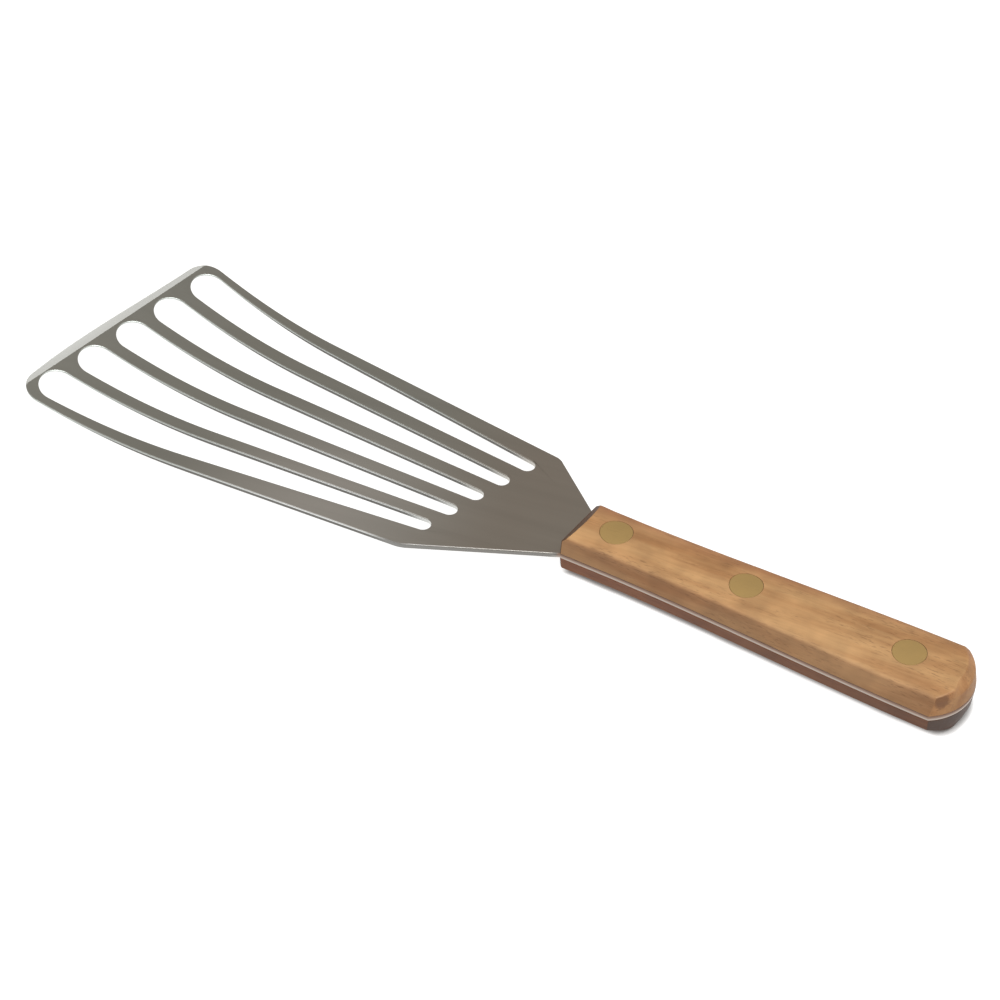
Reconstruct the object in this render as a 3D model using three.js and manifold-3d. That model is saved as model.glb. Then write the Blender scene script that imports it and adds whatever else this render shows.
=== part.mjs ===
// Slotted turner: a springy stainless blade whose full tang is sandwiched between two wooden
// scales, held by three two-piece brass rivets.
//
// Millimetres, +Z up. The parts are drawn with x = 0 at the front end of the handle, +X towards the
// blade's tip, +Y to the user's left (the blade's longer side) and z = 0 halfway through the tang.
// At the end the whole turner is shifted so that its origin is the middle of its bounding box, at
// the level of the surface it lies on.

import * as THREE from 'three';
import { mergeVertices } from 'three/addons/utils/BufferGeometryUtils.js';
import Module from 'manifold-3d';

// Handle, seen from above
const handleLength = 115.4;       // front end to the middle of the rounded butt
const handleFrontWidth = 18.2;
const handleWaistWidth = 17.5;
const handleWaistDistance = 14;   // from the front end back to the narrowest place
const handleRearWidth = 24.2;     // at the two corners where the butt's curve starts
const buttRise = 6.4;             // how far the butt's curve stands behind those corners

// Wooden scales
const scaleThickness = 6.45;
const shoulderHeight = 4.8;       // height of the rounded shoulder along each side
const frontEdgeRadius = 1.2;
const buttEdgeRadius = 1.8;
const glueLine = 0.1;             // between each scale and the tang

// Blade, seen from above
const tangThickness = 1.5;
const bladeLength = 157.7;        // handle's front end to the tip edge, along the handle's axis
const tipWidth = 76.2;
const tipOffset = -1.7;           // middle of the tip edge, across the handle's axis
const tipAngle = 9;               // degrees that the tip edge leans from square
const tipLeftCornerRadius = 6.2;
const tipRightCornerRadius = 7.9;
const leftShoulder = { x: 43.2, y: 28.2, radius: 16 };
const rightShoulder = { x: 20.4, y: -24.2, radius: 5.3 };

// Blade, seen from the side
const neckSetAngle = 0.6;         // degrees that the blade points down from the tang
const neckSetDistance = 1.5;      // clear of the wood before that set starts
const flatLength = 104.6;         // handle's front end to the start of the curve, on the axis
const curveRadius = 155;
const taperStart = 36;            // handle's front end to where the thinning starts
const tipThickness = 0.75;
const bevelWidth = 2;
const edgeThickness = 0.25;       // left standing at the bevel's outer edge

// Slots
const slotCount = 5;
const edgeBarAtTip = 3.4;         // outer bars, at the wide ends of the slots
const barAtTip = 4.05;            // bars between slots, at the wide ends
const barAtRoot = 4.4;            // bars between slots, at the narrow ends
const rootSpan = 39.1;            // across all the slots at their narrow ends
const rootOffset = 0.5;           // middle of that span, across the handle's axis
const rootDistance = 31.7;        // handle's front end to the middle of that span
const rootAngle = 18.3;           // degrees that the row of narrow ends leans from square
const tipWeb = 0.4;               // between the slots' wide ends and the bevel

// Rivets: a headed post from above, driven into a headed sleeve from below
const rivetDistances = { front: 12.2, middle: 51, rear: 97.5 };
const headDiameter = 9.3;
const headThickness = 1.8;
const sleeveDiameter = 6.2;
const pinDiameter = 3.6;
const headRecess = 0.05;          // each head lies this much below the wood
const landMargin = 0.7;           // flat wood left beside a head
const holeClearance = 0.1;        // all round a head or a sleeve in its hole
const seatClearance = 0.1;        // under a head, and between a sleeve's end and the post's head
const pinClearance = 0.05;        // all round the pin in its sleeve
const pinEndGap = 0.4;            // below the pin, in the sleeve's blind bore

// Steps of the faceted surfaces
const roundSegments = 32;
const sideSteps = 10;
const buttSteps = 14;
const cornerSteps = 6;
const slotEndSteps = 10;
const curveSteps = 14;
const shoulderAngles = [0, 20, 38, 52, 64, 74, 82, 90];
const filletShare = 0.9;          // most of a wall that its rounded edges may take together
const mergeDistance = 1e-4;       // corners closer than this are one corner

const MATERIALS = {
  steel: new THREE.MeshStandardMaterial({ color: '#8b8982', roughness: 0.38, metalness: 1 }),
  wood: new THREE.MeshStandardMaterial({ color: '#b98f67', roughness: 0.6, metalness: 0 }),
  brass: new THREE.MeshStandardMaterial({ color: '#a98b5a', roughness: 0.42, metalness: 1 }),
};

const { clamp, degToRad, lerp, mapLinear, smoothstep } = THREE.MathUtils;
const wasm = await Module();
wasm.setup();

// Solids

const cutterReach = handleLength + bladeLength + tipWidth;   // past every side of the turner
const cutterExtrusion = { depth: 2 * cutterReach, bevelEnabled: false };

/** Turns a closed geometry into a manifold solid. */
function toSolid(geometry) {
  const bare = geometry.index ? geometry.toNonIndexed() : geometry.clone();
  for (const name of Object.keys(bare.attributes)) {
    if (name !== 'position') bare.deleteAttribute(name);
  }
  const merged = mergeVertices(bare, mergeDistance);
  const vertProperties = new Float32Array(merged.attributes.position.array);
  const triVerts = new Uint32Array(merged.index.array);
  return new wasm.Manifold(new wasm.Mesh({ numProp: 3, vertProperties, triVerts }));
}

/** Turns a manifold solid back into a geometry with flat faces. */
function toGeometry(solid) {
  const { vertProperties, triVerts } = solid.getMesh();
  const geometry = new THREE.BufferGeometry();
  geometry.setAttribute('position', new THREE.BufferAttribute(vertProperties, 3));
  geometry.setIndex(new THREE.BufferAttribute(triVerts, 1));
  const faceted = geometry.toNonIndexed();
  faceted.computeVertexNormals();
  return faceted;
}

/** A solid of revolution about Z from [radius, height] pairs that start and end on the axis. */
function turned(profile) {
  const points = profile.map(([radius, height]) => new THREE.Vector2(radius, height));
  return new THREE.LatheGeometry(points, roundSegments).rotateX(Math.PI / 2);
}

/** An outline seen from above, pushed through the whole height of the turner. */
function throughPrism(points) {
  const geometry = new THREE.ExtrudeGeometry(new THREE.Shape(points), cutterExtrusion);
  return toSolid(geometry.translate(0, 0, -cutterExtrusion.depth / 2));
}

// Handle

const scaleFoot = tangThickness / 2 + glueLine;
const scaleTop = scaleFoot + scaleThickness;
const shoulderRise = Math.min(shoulderHeight, filletShare * scaleThickness);
const landHalfWidth = headDiameter / 2 + holeClearance + landMargin;
const sideEnd = -(handleLength - buttRise);
const buttRadius = ((handleRearWidth / 2) ** 2 + buttRise ** 2) / (2 * buttRise);
const buttCentreX = buttRadius - handleLength;

/** Half the handle's width. It eases out from the waist, forwards to the front and back to the butt. */
function handleHalfWidth(x) {
  if (x > -handleWaistDistance) {
    const forward = 1 + x / handleWaistDistance;
    return lerp(handleWaistWidth, handleFrontWidth, forward ** 2) / 2;
  }
  return lerp(handleWaistWidth, handleRearWidth, smoothstep(-x, handleWaistDistance, -sideEnd)) / 2;
}

/** How far a rounded edge has rolled in at a depth below the face: 0 at its foot, 1 at the face. */
function rollShare(depthBelowFace, edgeHeight) {
  const rise = Math.max(0, 1 - depthBelowFace / edgeHeight);
  return 1 - Math.sqrt(1 - rise * rise);
}

/**
 * The handle's outline at a depth below the wood's outer face, counter-clockwise from its left
 * front corner. The sides roll in to the flat land, the front end and the butt by their own radius.
 */
function handleLoop(depthBelowFace) {
  const sideRoll = rollShare(depthBelowFace, shoulderRise);
  const halfWidth = (x) => lerp(handleHalfWidth(x), landHalfWidth, sideRoll);
  const frontX = -frontEdgeRadius * rollShare(depthBelowFace, frontEdgeRadius);
  const radius = buttRadius - buttEdgeRadius * rollShare(depthBelowFace, buttEdgeRadius);
  const cornerAngle = Math.asin(halfWidth(sideEnd) / radius);
  const cornerX = buttCentreX - radius * Math.cos(cornerAngle);
  const left = [];
  for (let i = 0; i < sideSteps; i += 1) {
    const x = lerp(frontX, cornerX, i / sideSteps);
    left.push(new THREE.Vector2(x, halfWidth(x)));
  }
  const butt = [];
  for (let i = 0; i <= buttSteps; i += 1) {
    const angle = lerp(cornerAngle, -cornerAngle, i / buttSteps);
    butt.push(new THREE.Vector2(buttCentreX - radius * Math.cos(angle), radius * Math.sin(angle)));
  }
  const right = left.map(({ x, y }) => new THREE.Vector2(x, -y)).reverse();
  return [...left, ...butt, ...right];
}

/** Stacks loops into a solid with flat ends. They run counter-clockwise and are given upwards. */
function stackedLoops(loops) {
  const count = loops[0].length;
  const indices = [];
  for (let row = 0; row + 1 < loops.length; row += 1) {
    for (let i = 0; i < count; i += 1) {
      const a = row * count + i;
      const b = row * count + ((i + 1) % count);
      indices.push(a, b, b + count, a, b + count, a + count);
    }
  }
  const flat = (loop) => loop.map((p) => new THREE.Vector2(p.x, p.y));
  const last = (loops.length - 1) * count;
  for (const [a, b, c] of THREE.ShapeUtils.triangulateShape(flat(loops[0]), [])) {
    indices.push(a, c, b);
  }
  for (const [a, b, c] of THREE.ShapeUtils.triangulateShape(flat(loops.at(-1)), [])) {
    indices.push(last + a, last + b, last + c);
  }
  const geometry = new THREE.BufferGeometry().setFromPoints(loops.flat());
  geometry.setIndex(indices);
  return toSolid(geometry);
}

/** A stepped hole for a rivet: the shank's hole, and a counterbore for the head. */
function rivetHole(direction) {
  const shankRadius = sleeveDiameter / 2 + holeClearance;
  const headRadius = headDiameter / 2 + holeClearance;
  const seat = scaleTop - headRecess - headThickness - seatClearance;
  const past = scaleTop + headThickness;
  const hole = turned([
    [0, -past], [shankRadius, -past], [shankRadius, seat],
    [headRadius, seat], [headRadius, past], [0, past],
  ]);
  return direction > 0 ? hole : hole.rotateX(Math.PI);
}

/** One wooden scale, above the tang (direction 1) or below it (direction -1). */
function scaleSolid(direction) {
  const depths = [scaleThickness];
  for (const angle of shoulderAngles) depths.push(shoulderRise * (1 - Math.sin(degToRad(angle))));
  const loops = depths.map((depth) => {
    const z = direction * (scaleTop - depth);
    return handleLoop(depth).map(({ x, y }) => new THREE.Vector3(x, y, z));
  });
  let solid = stackedLoops(direction > 0 ? loops : loops.reverse());
  for (const distance of Object.values(rivetDistances)) {
    solid = solid.subtract(toSolid(rivetHole(direction).translate(-distance, 0, 0)));
  }
  return solid;
}

// Blade

const lean = degToRad(tipAngle);
const tipEdgeX = (y) => bladeLength + y * Math.tan(lean);
const tipLeft = tipOffset + tipWidth / 2;
const tipRight = tipOffset - tipWidth / 2;

/** Rounds the corner at b between a and c, as an arc of the given radius where the sides have room. */
function roundedCorner(a, b, c, radius) {
  const toA = a.clone().sub(b).normalize();
  const toC = c.clone().sub(b).normalize();
  const half = Math.acos(toA.dot(toC)) / 2;
  const room = (filletShare / 2) * Math.min(a.distanceTo(b), c.distanceTo(b));
  const reach = Math.min(radius / Math.tan(half), room);
  const bisector = toA.clone().add(toC).normalize();
  const centre = b.clone().addScaledVector(bisector, reach / Math.cos(half));
  const start = b.clone().addScaledVector(toA, reach).sub(centre);
  const end = b.clone().addScaledVector(toC, reach).sub(centre);
  const turn = Math.atan2(start.cross(end), start.dot(end));
  const points = [];
  for (let i = 0; i <= cornerSteps; i += 1) {
    points.push(start.clone().rotateAround(new THREE.Vector2(), (turn * i) / cornerSteps).add(centre));
  }
  return points;
}

/** The blade and its tang from above: the handle's outline, then round the blade from its right side. */
function bladeOutline() {
  const tang = handleLoop(scaleThickness);
  const corners = [
    [rightShoulder.x, rightShoulder.y, rightShoulder.radius],
    [tipEdgeX(tipRight), tipRight, tipRightCornerRadius],
    [tipEdgeX(tipLeft), tipLeft, tipLeftCornerRadius],
    [leftShoulder.x, leftShoulder.y, leftShoulder.radius],
  ];
  const path = [tang.at(-1), ...corners.map(([x, y]) => new THREE.Vector2(x, y)), tang[0]];
  const rounded = corners.map(([, , radius], i) => roundedCorner(...path.slice(i, i + 3), radius));
  return [...tang, ...rounded.flat()];
}

/**
 * The blade's side profile, in distances seen from above, square to the tip edge, and heights: a
 * flat tang, a slight set at the neck, a straight run, and an arc up to the tip. The sheet thins
 * towards the tip, and a bevel is ground on its upper face. It runs on past the tip edge, where
 * the outline cuts it.
 */
function sideProfile() {
  const across = Math.cos(lean);
  const neck = (handleFrontWidth / 2) * Math.sin(lean) + neckSetDistance;
  const set = degToRad(neckSetAngle);
  const curveStart = flatLength * across;
  const thinning = taperStart * across;
  const tip = bladeLength * across;
  const bevelStart = tip - bevelWidth;
  const sheetEnd = tip + bevelWidth * (edgeThickness / tipThickness / 2);

  /** Height and slope of the sheet's middle. */
  const middleAt = (d) => {
    if (d <= neck) return { height: 0, slope: 0 };
    const sunk = -(Math.min(d, curveStart) - neck) * Math.tan(set);
    if (d <= curveStart) return { height: sunk, slope: -set };
    const slope = Math.asin((d - curveStart) / curveRadius - Math.sin(set));
    return { height: sunk + curveRadius * (Math.cos(set) - Math.cos(slope)), slope };
  };
  const thicknessAt = (d) => {
    return mapLinear(clamp(d, thinning, bevelStart), thinning, bevelStart, tangThickness, tipThickness);
  };
  const groundOffAt = (d) => {
    return Math.max(0, d - bevelStart) * ((tipThickness - edgeThickness) / bevelWidth);
  };

  const stations = [-cutterReach, neck, thinning, curveStart];
  for (let i = 1; i <= curveSteps; i += 1) stations.push(lerp(curveStart, bevelStart, i / curveSteps));
  stations.push(sheetEnd);
  const upper = [];
  const lower = [];
  for (const d of stations) {
    const { height, slope } = middleAt(d);
    const half = thicknessAt(d) / 2;
    const normal = new THREE.Vector2(-Math.sin(slope), Math.cos(slope));
    upper.push(new THREE.Vector2(d, height).addScaledVector(normal, half - groundOffAt(d)));
    lower.push(new THREE.Vector2(d, height).addScaledVector(normal, -half));
  }
  return [...lower, ...upper.reverse()];
}

/** The sheet: the side profile carried along the direction of the tip edge. */
function sheetSolid() {
  const geometry = new THREE.ExtrudeGeometry(new THREE.Shape(sideProfile()), cutterExtrusion);
  geometry.translate(0, 0, -cutterExtrusion.depth / 2);
  const along = new THREE.Vector3(Math.cos(lean), -Math.sin(lean), 0);
  const up = new THREE.Vector3(0, 0, 1);
  const basis = new THREE.Matrix4().makeBasis(along, up, along.clone().cross(up));
  return toSolid(geometry.applyMatrix4(basis));
}

/** A slot from above: two round ends of different radius, joined by their outer tangents. */
function slotOutline(root, rootRadius, tip, tipRadius) {
  const axis = tip.clone().sub(root);
  const heading = axis.angle();
  const spread = Math.asin((tipRadius - rootRadius) / axis.length());
  const points = [];
  const addEnd = (centre, radius, from, to) => {
    for (let i = 0; i <= slotEndSteps; i += 1) {
      const angle = heading + lerp(from, to, i / slotEndSteps);
      points.push(new THREE.Vector2(radius, 0).rotateAround(new THREE.Vector2(), angle).add(centre));
    }
  };
  const quarter = Math.PI / 2;
  addEnd(tip, tipRadius, -quarter - spread, quarter + spread);
  addEnd(root, rootRadius, quarter + spread, 3 * quarter - spread);
  return points;
}

/** All the slots from above, evenly spread between the outer bars. */
function slotOutlines() {
  const tipSpan = tipWidth - 2 * edgeBarAtTip;
  const tipRadius = (tipSpan - (slotCount - 1) * barAtTip) / slotCount / 2;
  const rootRadius = (rootSpan - (slotCount - 1) * barAtRoot) / slotCount / 2;
  const tipPitch = 2 * tipRadius + barAtTip;
  const rootPitch = 2 * rootRadius + barAtRoot;
  const setBack = (bevelWidth + tipWeb + tipRadius) / Math.cos(lean);
  const rootSlope = Math.tan(degToRad(rootAngle));
  const outlines = [];
  for (let i = 0; i < slotCount; i += 1) {
    const place = i - (slotCount - 1) / 2;
    const tipY = tipOffset + place * tipPitch;
    const fromMiddle = place * rootPitch;
    const tip = new THREE.Vector2(tipEdgeX(tipY) - setBack, tipY);
    const root = new THREE.Vector2(rootDistance + fromMiddle * rootSlope, rootOffset + fromMiddle);
    outlines.push(slotOutline(root, rootRadius, tip, tipRadius));
  }
  return outlines;
}

/** The whole blade: the sheet cut to its outline, slotted, and drilled for the rivets. */
function bladeSolid() {
  let solid = sheetSolid().intersect(throughPrism(bladeOutline()));
  for (const outline of slotOutlines()) solid = solid.subtract(throughPrism(outline));
  const radius = sleeveDiameter / 2 + holeClearance;
  for (const distance of Object.values(rivetDistances)) {
    const drill = turned([[0, -scaleTop], [radius, -scaleTop], [radius, scaleTop], [0, scaleTop]]);
    solid = solid.subtract(toSolid(drill.translate(-distance, 0, 0)));
  }
  return solid;
}

// Rivets

const headFace = scaleTop - headRecess;
const headSeat = headFace - headThickness;
const sleeveEnd = headSeat - seatClearance;
const boreRadius = pinDiameter / 2 + pinClearance;
const boreFloor = -headSeat;
const pinEnd = boreFloor + pinEndGap;

/** The headed post that comes from above. */
function rivetPost() {
  return turned([
    [0, pinEnd], [pinDiameter / 2, pinEnd], [pinDiameter / 2, headSeat],
    [headDiameter / 2, headSeat], [headDiameter / 2, headFace], [0, headFace],
  ]);
}

/** The headed sleeve that comes from below, with its blind bore. */
function rivetSleeve() {
  return turned([
    [0, -headFace], [headDiameter / 2, -headFace], [headDiameter / 2, -headSeat],
    [sleeveDiameter / 2, -headSeat], [sleeveDiameter / 2, sleeveEnd],
    [boreRadius, sleeveEnd], [boreRadius, boreFloor], [0, boreFloor],
  ]);
}

// Assembly

const turner = new THREE.Group();

/** Adds one named piece to the turner. */
function addPiece(name, geometry, material) {
  const mesh = new THREE.Mesh(geometry, material);
  mesh.name = name;
  turner.add(mesh);
  return mesh;
}

addPiece('blade', toGeometry(bladeSolid()), MATERIALS.steel);
addPiece('upper_scale', toGeometry(scaleSolid(1)), MATERIALS.wood);
addPiece('lower_scale', toGeometry(scaleSolid(-1)), MATERIALS.wood);
for (const [place, distance] of Object.entries(rivetDistances)) {
  addPiece(`${place}_rivet_post`, rivetPost(), MATERIALS.brass).position.x = -distance;
  addPiece(`${place}_rivet_sleeve`, rivetSleeve(), MATERIALS.brass).position.x = -distance;
}

const box = new THREE.Box3().setFromObject(turner, true);
const middle = box.getCenter(new THREE.Vector3());
turner.position.set(-middle.x, -middle.y, -box.min.z);

export default turner;
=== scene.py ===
"""Slotted turner: the finished surfaces of its steel blade, wooden handle scales and brass rivets.

Shapes are worked out in millimetres from the middle of the handle's front end, at mid height of the
tang: x runs towards the blade's tip, y to the turner's left and z up. Placement carries them into the
frame, in metres. A grid is an array of rows x columns x 3 points, and its outer side is the one that
rows crossed with columns face.
"""

from __future__ import annotations

import logging
import math
from dataclasses import astuple, dataclass, field, replace
from enum import Enum
from functools import cached_property

import bpy
import numpy as np
from mathutils import Matrix, Vector

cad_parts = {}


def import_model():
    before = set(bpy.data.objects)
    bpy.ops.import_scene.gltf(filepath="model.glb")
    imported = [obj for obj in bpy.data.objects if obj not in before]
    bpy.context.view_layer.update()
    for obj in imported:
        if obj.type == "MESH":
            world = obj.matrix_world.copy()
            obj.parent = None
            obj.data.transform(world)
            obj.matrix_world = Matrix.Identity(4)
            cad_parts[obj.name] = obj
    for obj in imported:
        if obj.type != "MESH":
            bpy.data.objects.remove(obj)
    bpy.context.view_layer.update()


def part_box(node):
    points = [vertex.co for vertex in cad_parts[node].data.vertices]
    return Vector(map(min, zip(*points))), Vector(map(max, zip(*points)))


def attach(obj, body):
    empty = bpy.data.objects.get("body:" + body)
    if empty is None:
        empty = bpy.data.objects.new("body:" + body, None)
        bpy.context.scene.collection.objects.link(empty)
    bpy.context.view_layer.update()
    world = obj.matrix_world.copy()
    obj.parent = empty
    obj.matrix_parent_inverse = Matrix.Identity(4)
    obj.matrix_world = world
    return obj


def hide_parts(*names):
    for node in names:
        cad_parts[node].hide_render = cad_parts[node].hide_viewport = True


Array = np.ndarray
Socket = bpy.types.NodeSocket
Colour = tuple[float, float, float]
Place = tuple[float, float, float]
Range = tuple[float, float]

LOG = logging.getLogger("slotted_turner")
BODY = "root"
METRES_PER_MM = 0.001
WELD_DISTANCE = 1e-5
RIGHT_ANGLE = math.pi / 2.0
FULL_TURN = 2.0 * math.pi
CUT_BEFORE = 0.9
CUT_AFTER = 0.5
BOW_SCALE = 27.0 / 4.0
KNOT_PLACE = (-110.4, 8.9, 4.6)
# Centre of the steel's painted sheen, in millimetres.
PAINTED_SHEEN_PLACE = (66.0, 27.0, 3.0)
# Where the edges' painted shade turns to the wood's painted shadow on the tang, in millimetres.
TANG_SHADOW_CHANGE = (1.0, 0.0)
COOL_CHANGE = (15.0, 70.0)
WHITE = (1.0, 1.0, 1.0)


def mix(start: float | Array, end: float | Array, share: float | Array) -> float | Array:
    """Straight mix of two values: start at share 0, end at share 1."""
    return start + (end - start) * share


def stacked(*coordinates: float | Array) -> Array:
    """Puts coordinates side by side as the last axis of one array."""
    return np.stack(np.broadcast_arrays(*coordinates), axis=-1)


def at_height(plan: Array, height: float | Array) -> Array:
    """Points of a plan at a height."""
    return stacked(plan[..., 0], plan[..., 1], height)


def unit(vector: Array) -> Array:
    """The vector at length 1."""
    return vector / np.linalg.norm(vector)


def shares(steps: int) -> Array:
    """Even shares from 0 to 1 in that many steps."""
    return np.linspace(0.0, 1.0, steps + 1)


def smooth_share(value: Array, start: float, end: float) -> Array:
    """Eased share between two values: 3t^2 - 2t^3, with t held between 0 and 1."""
    share = np.clip((value - start) / (end - start), 0.0, 1.0)
    return share * share * (3.0 - 2.0 * share)


def closed(loop: Array) -> Array:
    """A loop with its first point repeated at the end."""
    return np.concatenate([loop, loop[:1]])


def joined(*runs: Array) -> Array:
    """Runs of points put end to end, where each run starts on the last point of the one before."""
    return np.concatenate([runs[0]] + [run[1:] for run in runs[1:]])


def travelled_shares(line: Array) -> Array:
    """The share of a line's length that is travelled at each of its points."""
    travelled = np.concatenate([[0.0], np.cumsum(np.linalg.norm(np.diff(line, axis=0), axis=1))])
    return travelled / travelled[-1]


def ruled(first: Array, last: Array, rows: Array) -> Array:
    """Straight lines between two curves: row u holds first + u * (last - first)."""
    return mix(first[None], last[None], rows[:, None, None])


@dataclass(frozen=True)
class Arc:
    """A round corner in plan: centre + radius * (cos, sin) of an angle that runs from start by turn."""

    centre: Array
    radius: float
    start: float
    turn: float

    @classmethod
    def in_corner(cls, before: Array, corner: Array, after: Array, radius: float) -> Arc:
        """Fits an arc into a corner so that it meets both sides without a kink.

        The centre lies on the corner's bisector, where both sides are one radius away.

        Args:
            before: A point on the side that leads to the corner.
            corner: The sharp corner.
            after: A point on the side that leaves the corner.
            radius: The arc's radius.

        Returns:
            The arc, running from the first side to the second.
        """
        back = unit(before - corner)
        ahead = unit(after - corner)
        half_angle = math.acos(float(np.clip(back @ ahead, -1.0, 1.0))) / 2.0
        centre = corner + unit(back + ahead) * radius / math.sin(half_angle)
        reach = radius / math.tan(half_angle)
        first = corner + back * reach - centre
        last = corner + ahead * reach - centre
        turn = math.atan2(first[0] * last[1] - first[1] * last[0], first @ last)
        return cls(centre, radius, math.atan2(first[1], first[0]), turn)

    def points(self, along: Array) -> Array:
        """Points of the arc at these shares of its turn."""
        angles = self.start + self.turn * along
        return self.centre + self.radius * stacked(np.cos(angles), np.sin(angles))


@dataclass(frozen=True)
class Placement:
    """Carries millimetres at the handle's front end into the frame's metres."""

    origin: Array

    @classmethod
    def from_frame(cls) -> Placement:
        """Finds the handle's front end between its two scales."""
        upper_low, upper_high = (np.array(corner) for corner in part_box("upper_scale"))
        lower_high = np.array(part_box("lower_scale")[1])
        middle = (upper_low + upper_high) / 2.0
        return cls(np.array([upper_high[0], middle[1], (upper_low[2] + lower_high[2]) / 2.0]))

    def metres(self, points: Array | Place) -> Array:
        """Millimetres at the handle's front end as metres in the frame."""
        return np.asarray(points) * METRES_PER_MM + self.origin

    def metres_along(self, stretch: Range) -> Range:
        """A stretch of x in millimetres as metres in the frame."""
        start, end = np.asarray(stretch) * METRES_PER_MM + self.origin[0]
        return start, end


class Mask(Enum):
    """Marks that a skin carries for its material."""

    # A rough fracture zone whose colour carries painted shade.
    TORN_AND_SHADED = "torn_and_shaded_edge"
    GROUND = "ground_bevel"


class Skin:
    """A closed skin welded from grids of points."""

    def __init__(self) -> None:
        """Starts with no grids."""
        self._points: list[Array] = []
        self._quads: list[Array] = []
        self._marks: dict[Mask, list[Array]] = {mask: [] for mask in Mask}
        self._size = 0

    def add(self, grid: Array, marks: dict[Mask, float | Array] | None = None) -> None:
        """Adds one grid.

        Args:
            grid: Rows x columns x 3 points whose rows crossed with columns point outwards.
            marks: Values for each mask, spread over the grid. A mask that isn't named is 0.
        """
        rows, columns = grid.shape[:2]
        index = np.arange(rows * columns).reshape(rows, columns) + self._size
        quads = stacked(index[:-1, :-1], index[1:, :-1], index[1:, 1:], index[:-1, 1:])
        self._points.append(grid.reshape(-1, 3))
        self._quads.append(quads.reshape(-1, 4))
        for mask, values in self._marks.items():
            value = (marks or {}).get(mask, 0.0)
            values.append(np.broadcast_to(value, (rows, columns)).reshape(-1))
        self._size += rows * columns

    def _welded(self) -> tuple[Array, Array, dict[Mask, Array]]:
        """Joins points that fall together and splits quads into triangles, dropping those that collapse.

        Returns:
            Points, triangles and the masks' values at the points.
        """
        points = np.concatenate(self._points)
        places = np.round(points / WELD_DISTANCE).astype(np.int64)
        _, first, joined_to = np.unique(places, axis=0, return_index=True, return_inverse=True)
        quads = joined_to.reshape(-1)[np.concatenate(self._quads)]
        triangles = np.concatenate([quads[:, [0, 1, 2]], quads[:, [0, 2, 3]]])
        repeated = (triangles == np.roll(triangles, 1, axis=1)).any(axis=1)
        marks = {mask: np.concatenate(values)[first] for mask, values in self._marks.items()}
        return points[first], triangles[~repeated], marks

    def to_object(self, name: str, placement: Placement) -> bpy.types.Object:
        """Makes the skin a mesh object.

        A corner's normal is the sum of its triangles' area vectors, so broad faces stay flat beside
        narrow rounded edges.

        Args:
            name: The object's name.
            placement: Carries the points into the frame.

        Returns:
            The new object, at the origin.
        """
        points, triangles, marks = self._welded()
        corners = points[triangles]
        areas = np.cross(corners[:, 1] - corners[:, 0], corners[:, 2] - corners[:, 0])
        normals = np.zeros_like(points)
        np.add.at(normals, triangles, areas[:, None, :])
        normals /= np.linalg.norm(normals, axis=1, keepdims=True)
        mesh = bpy.data.meshes.new(name)
        mesh.vertices.add(len(points))
        mesh.vertices.foreach_set("co", placement.metres(points).astype(np.float32).ravel())
        mesh.loops.add(triangles.size)
        mesh.loops.foreach_set("vertex_index", triangles.astype(np.int32).ravel())
        mesh.polygons.add(len(triangles))
        mesh.polygons.foreach_set("loop_start", np.arange(0, triangles.size, 3, dtype=np.int32))
        mesh.update(calc_edges=True)
        mesh.shade_smooth()
        mesh.normals_split_custom_set_from_vertices(normals)
        for mask, values in marks.items():
            layer = mesh.attributes.new(mask.value, "FLOAT", "POINT")
            layer.data.foreach_set("value", values.astype(np.float32))
        piece = bpy.data.objects.new(name, mesh)
        bpy.context.scene.collection.objects.link(piece)
        LOG.info("%s: %d triangles", name, len(triangles))
        return piece


def dress(piece: bpy.types.Object, material: bpy.types.Material, slot: str, *nodes: str) -> None:
    """Finishes a piece and lets it stand for its nodes of the frame.

    Args:
        piece: The finished mesh object.
        material: Its material.
        slot: The record's material slot; not used.
        nodes: The frame's nodes that it replaces.
    """
    piece.data.materials.append(material)
    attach(piece, BODY)
    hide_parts(*nodes)


@dataclass(frozen=True)
class RivetSizes:
    """The headed posts and sleeves, and the holes that they sit in."""

    distances: dict[str, float] = field(
        default_factory=lambda: {"front": 12.2, "middle": 51.0, "rear": 97.5},
    )
    head_radius: float = 4.45
    head_thickness: float = 1.8
    head_recess: float = 0.01
    head_edge: float = 0.03
    sleeve_radius: float = 3.1
    pin_radius: float = 1.8
    hole_clearance: float = 0.1
    seat_clearance: float = 0.015
    rim_guard: float = 0.02
    pin_clearance: float = 0.05
    pin_end_gap: float = 0.4
    round_steps: int = 64
    face_steps: int = 6
    rim_steps: int = 4

    @property
    def seat_radius(self) -> float:
        """Radius of the hole round a head."""
        return self.head_radius + self.hole_clearance

    @property
    def shank_hole_radius(self) -> float:
        """Radius of the hole round a sleeve."""
        return self.sleeve_radius + self.hole_clearance

    @cached_property
    def half_turn(self) -> Array:
        """Angles of half a hole, from its front to its back."""
        return np.linspace(0.0, math.pi, self.round_steps // 2 + 1)

    def turned(self, profile: Array, distance: float) -> Array:
        """Carries a profile round a rivet's upright axis.

        The point at profile (r, z) and angle a is (r * cos a - distance, r * sin a, z).

        Args:
            profile: Rows of radius and height.
            distance: How far the axis lies behind the handle's front end.

        Returns:
            A grid with one row for each point of the profile.
        """
        angles = np.concatenate([self.half_turn, FULL_TURN - self.half_turn[-2::-1]])
        radius = profile[:, :1]
        return stacked(radius * np.cos(angles) - distance, radius * np.sin(angles), profile[:, 1:])


@dataclass(frozen=True)
class Widths:
    """The handle at one level: three widths along it, and how far its butt is drawn in."""

    front: float
    waist: float
    rear: float
    butt_inset: float

    def towards(self, other: Widths, share: float) -> Widths:
        """Widths on the straight line to another level."""
        return Widths(*mix(np.array(astuple(self)), np.array(astuple(other)), share))


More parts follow.
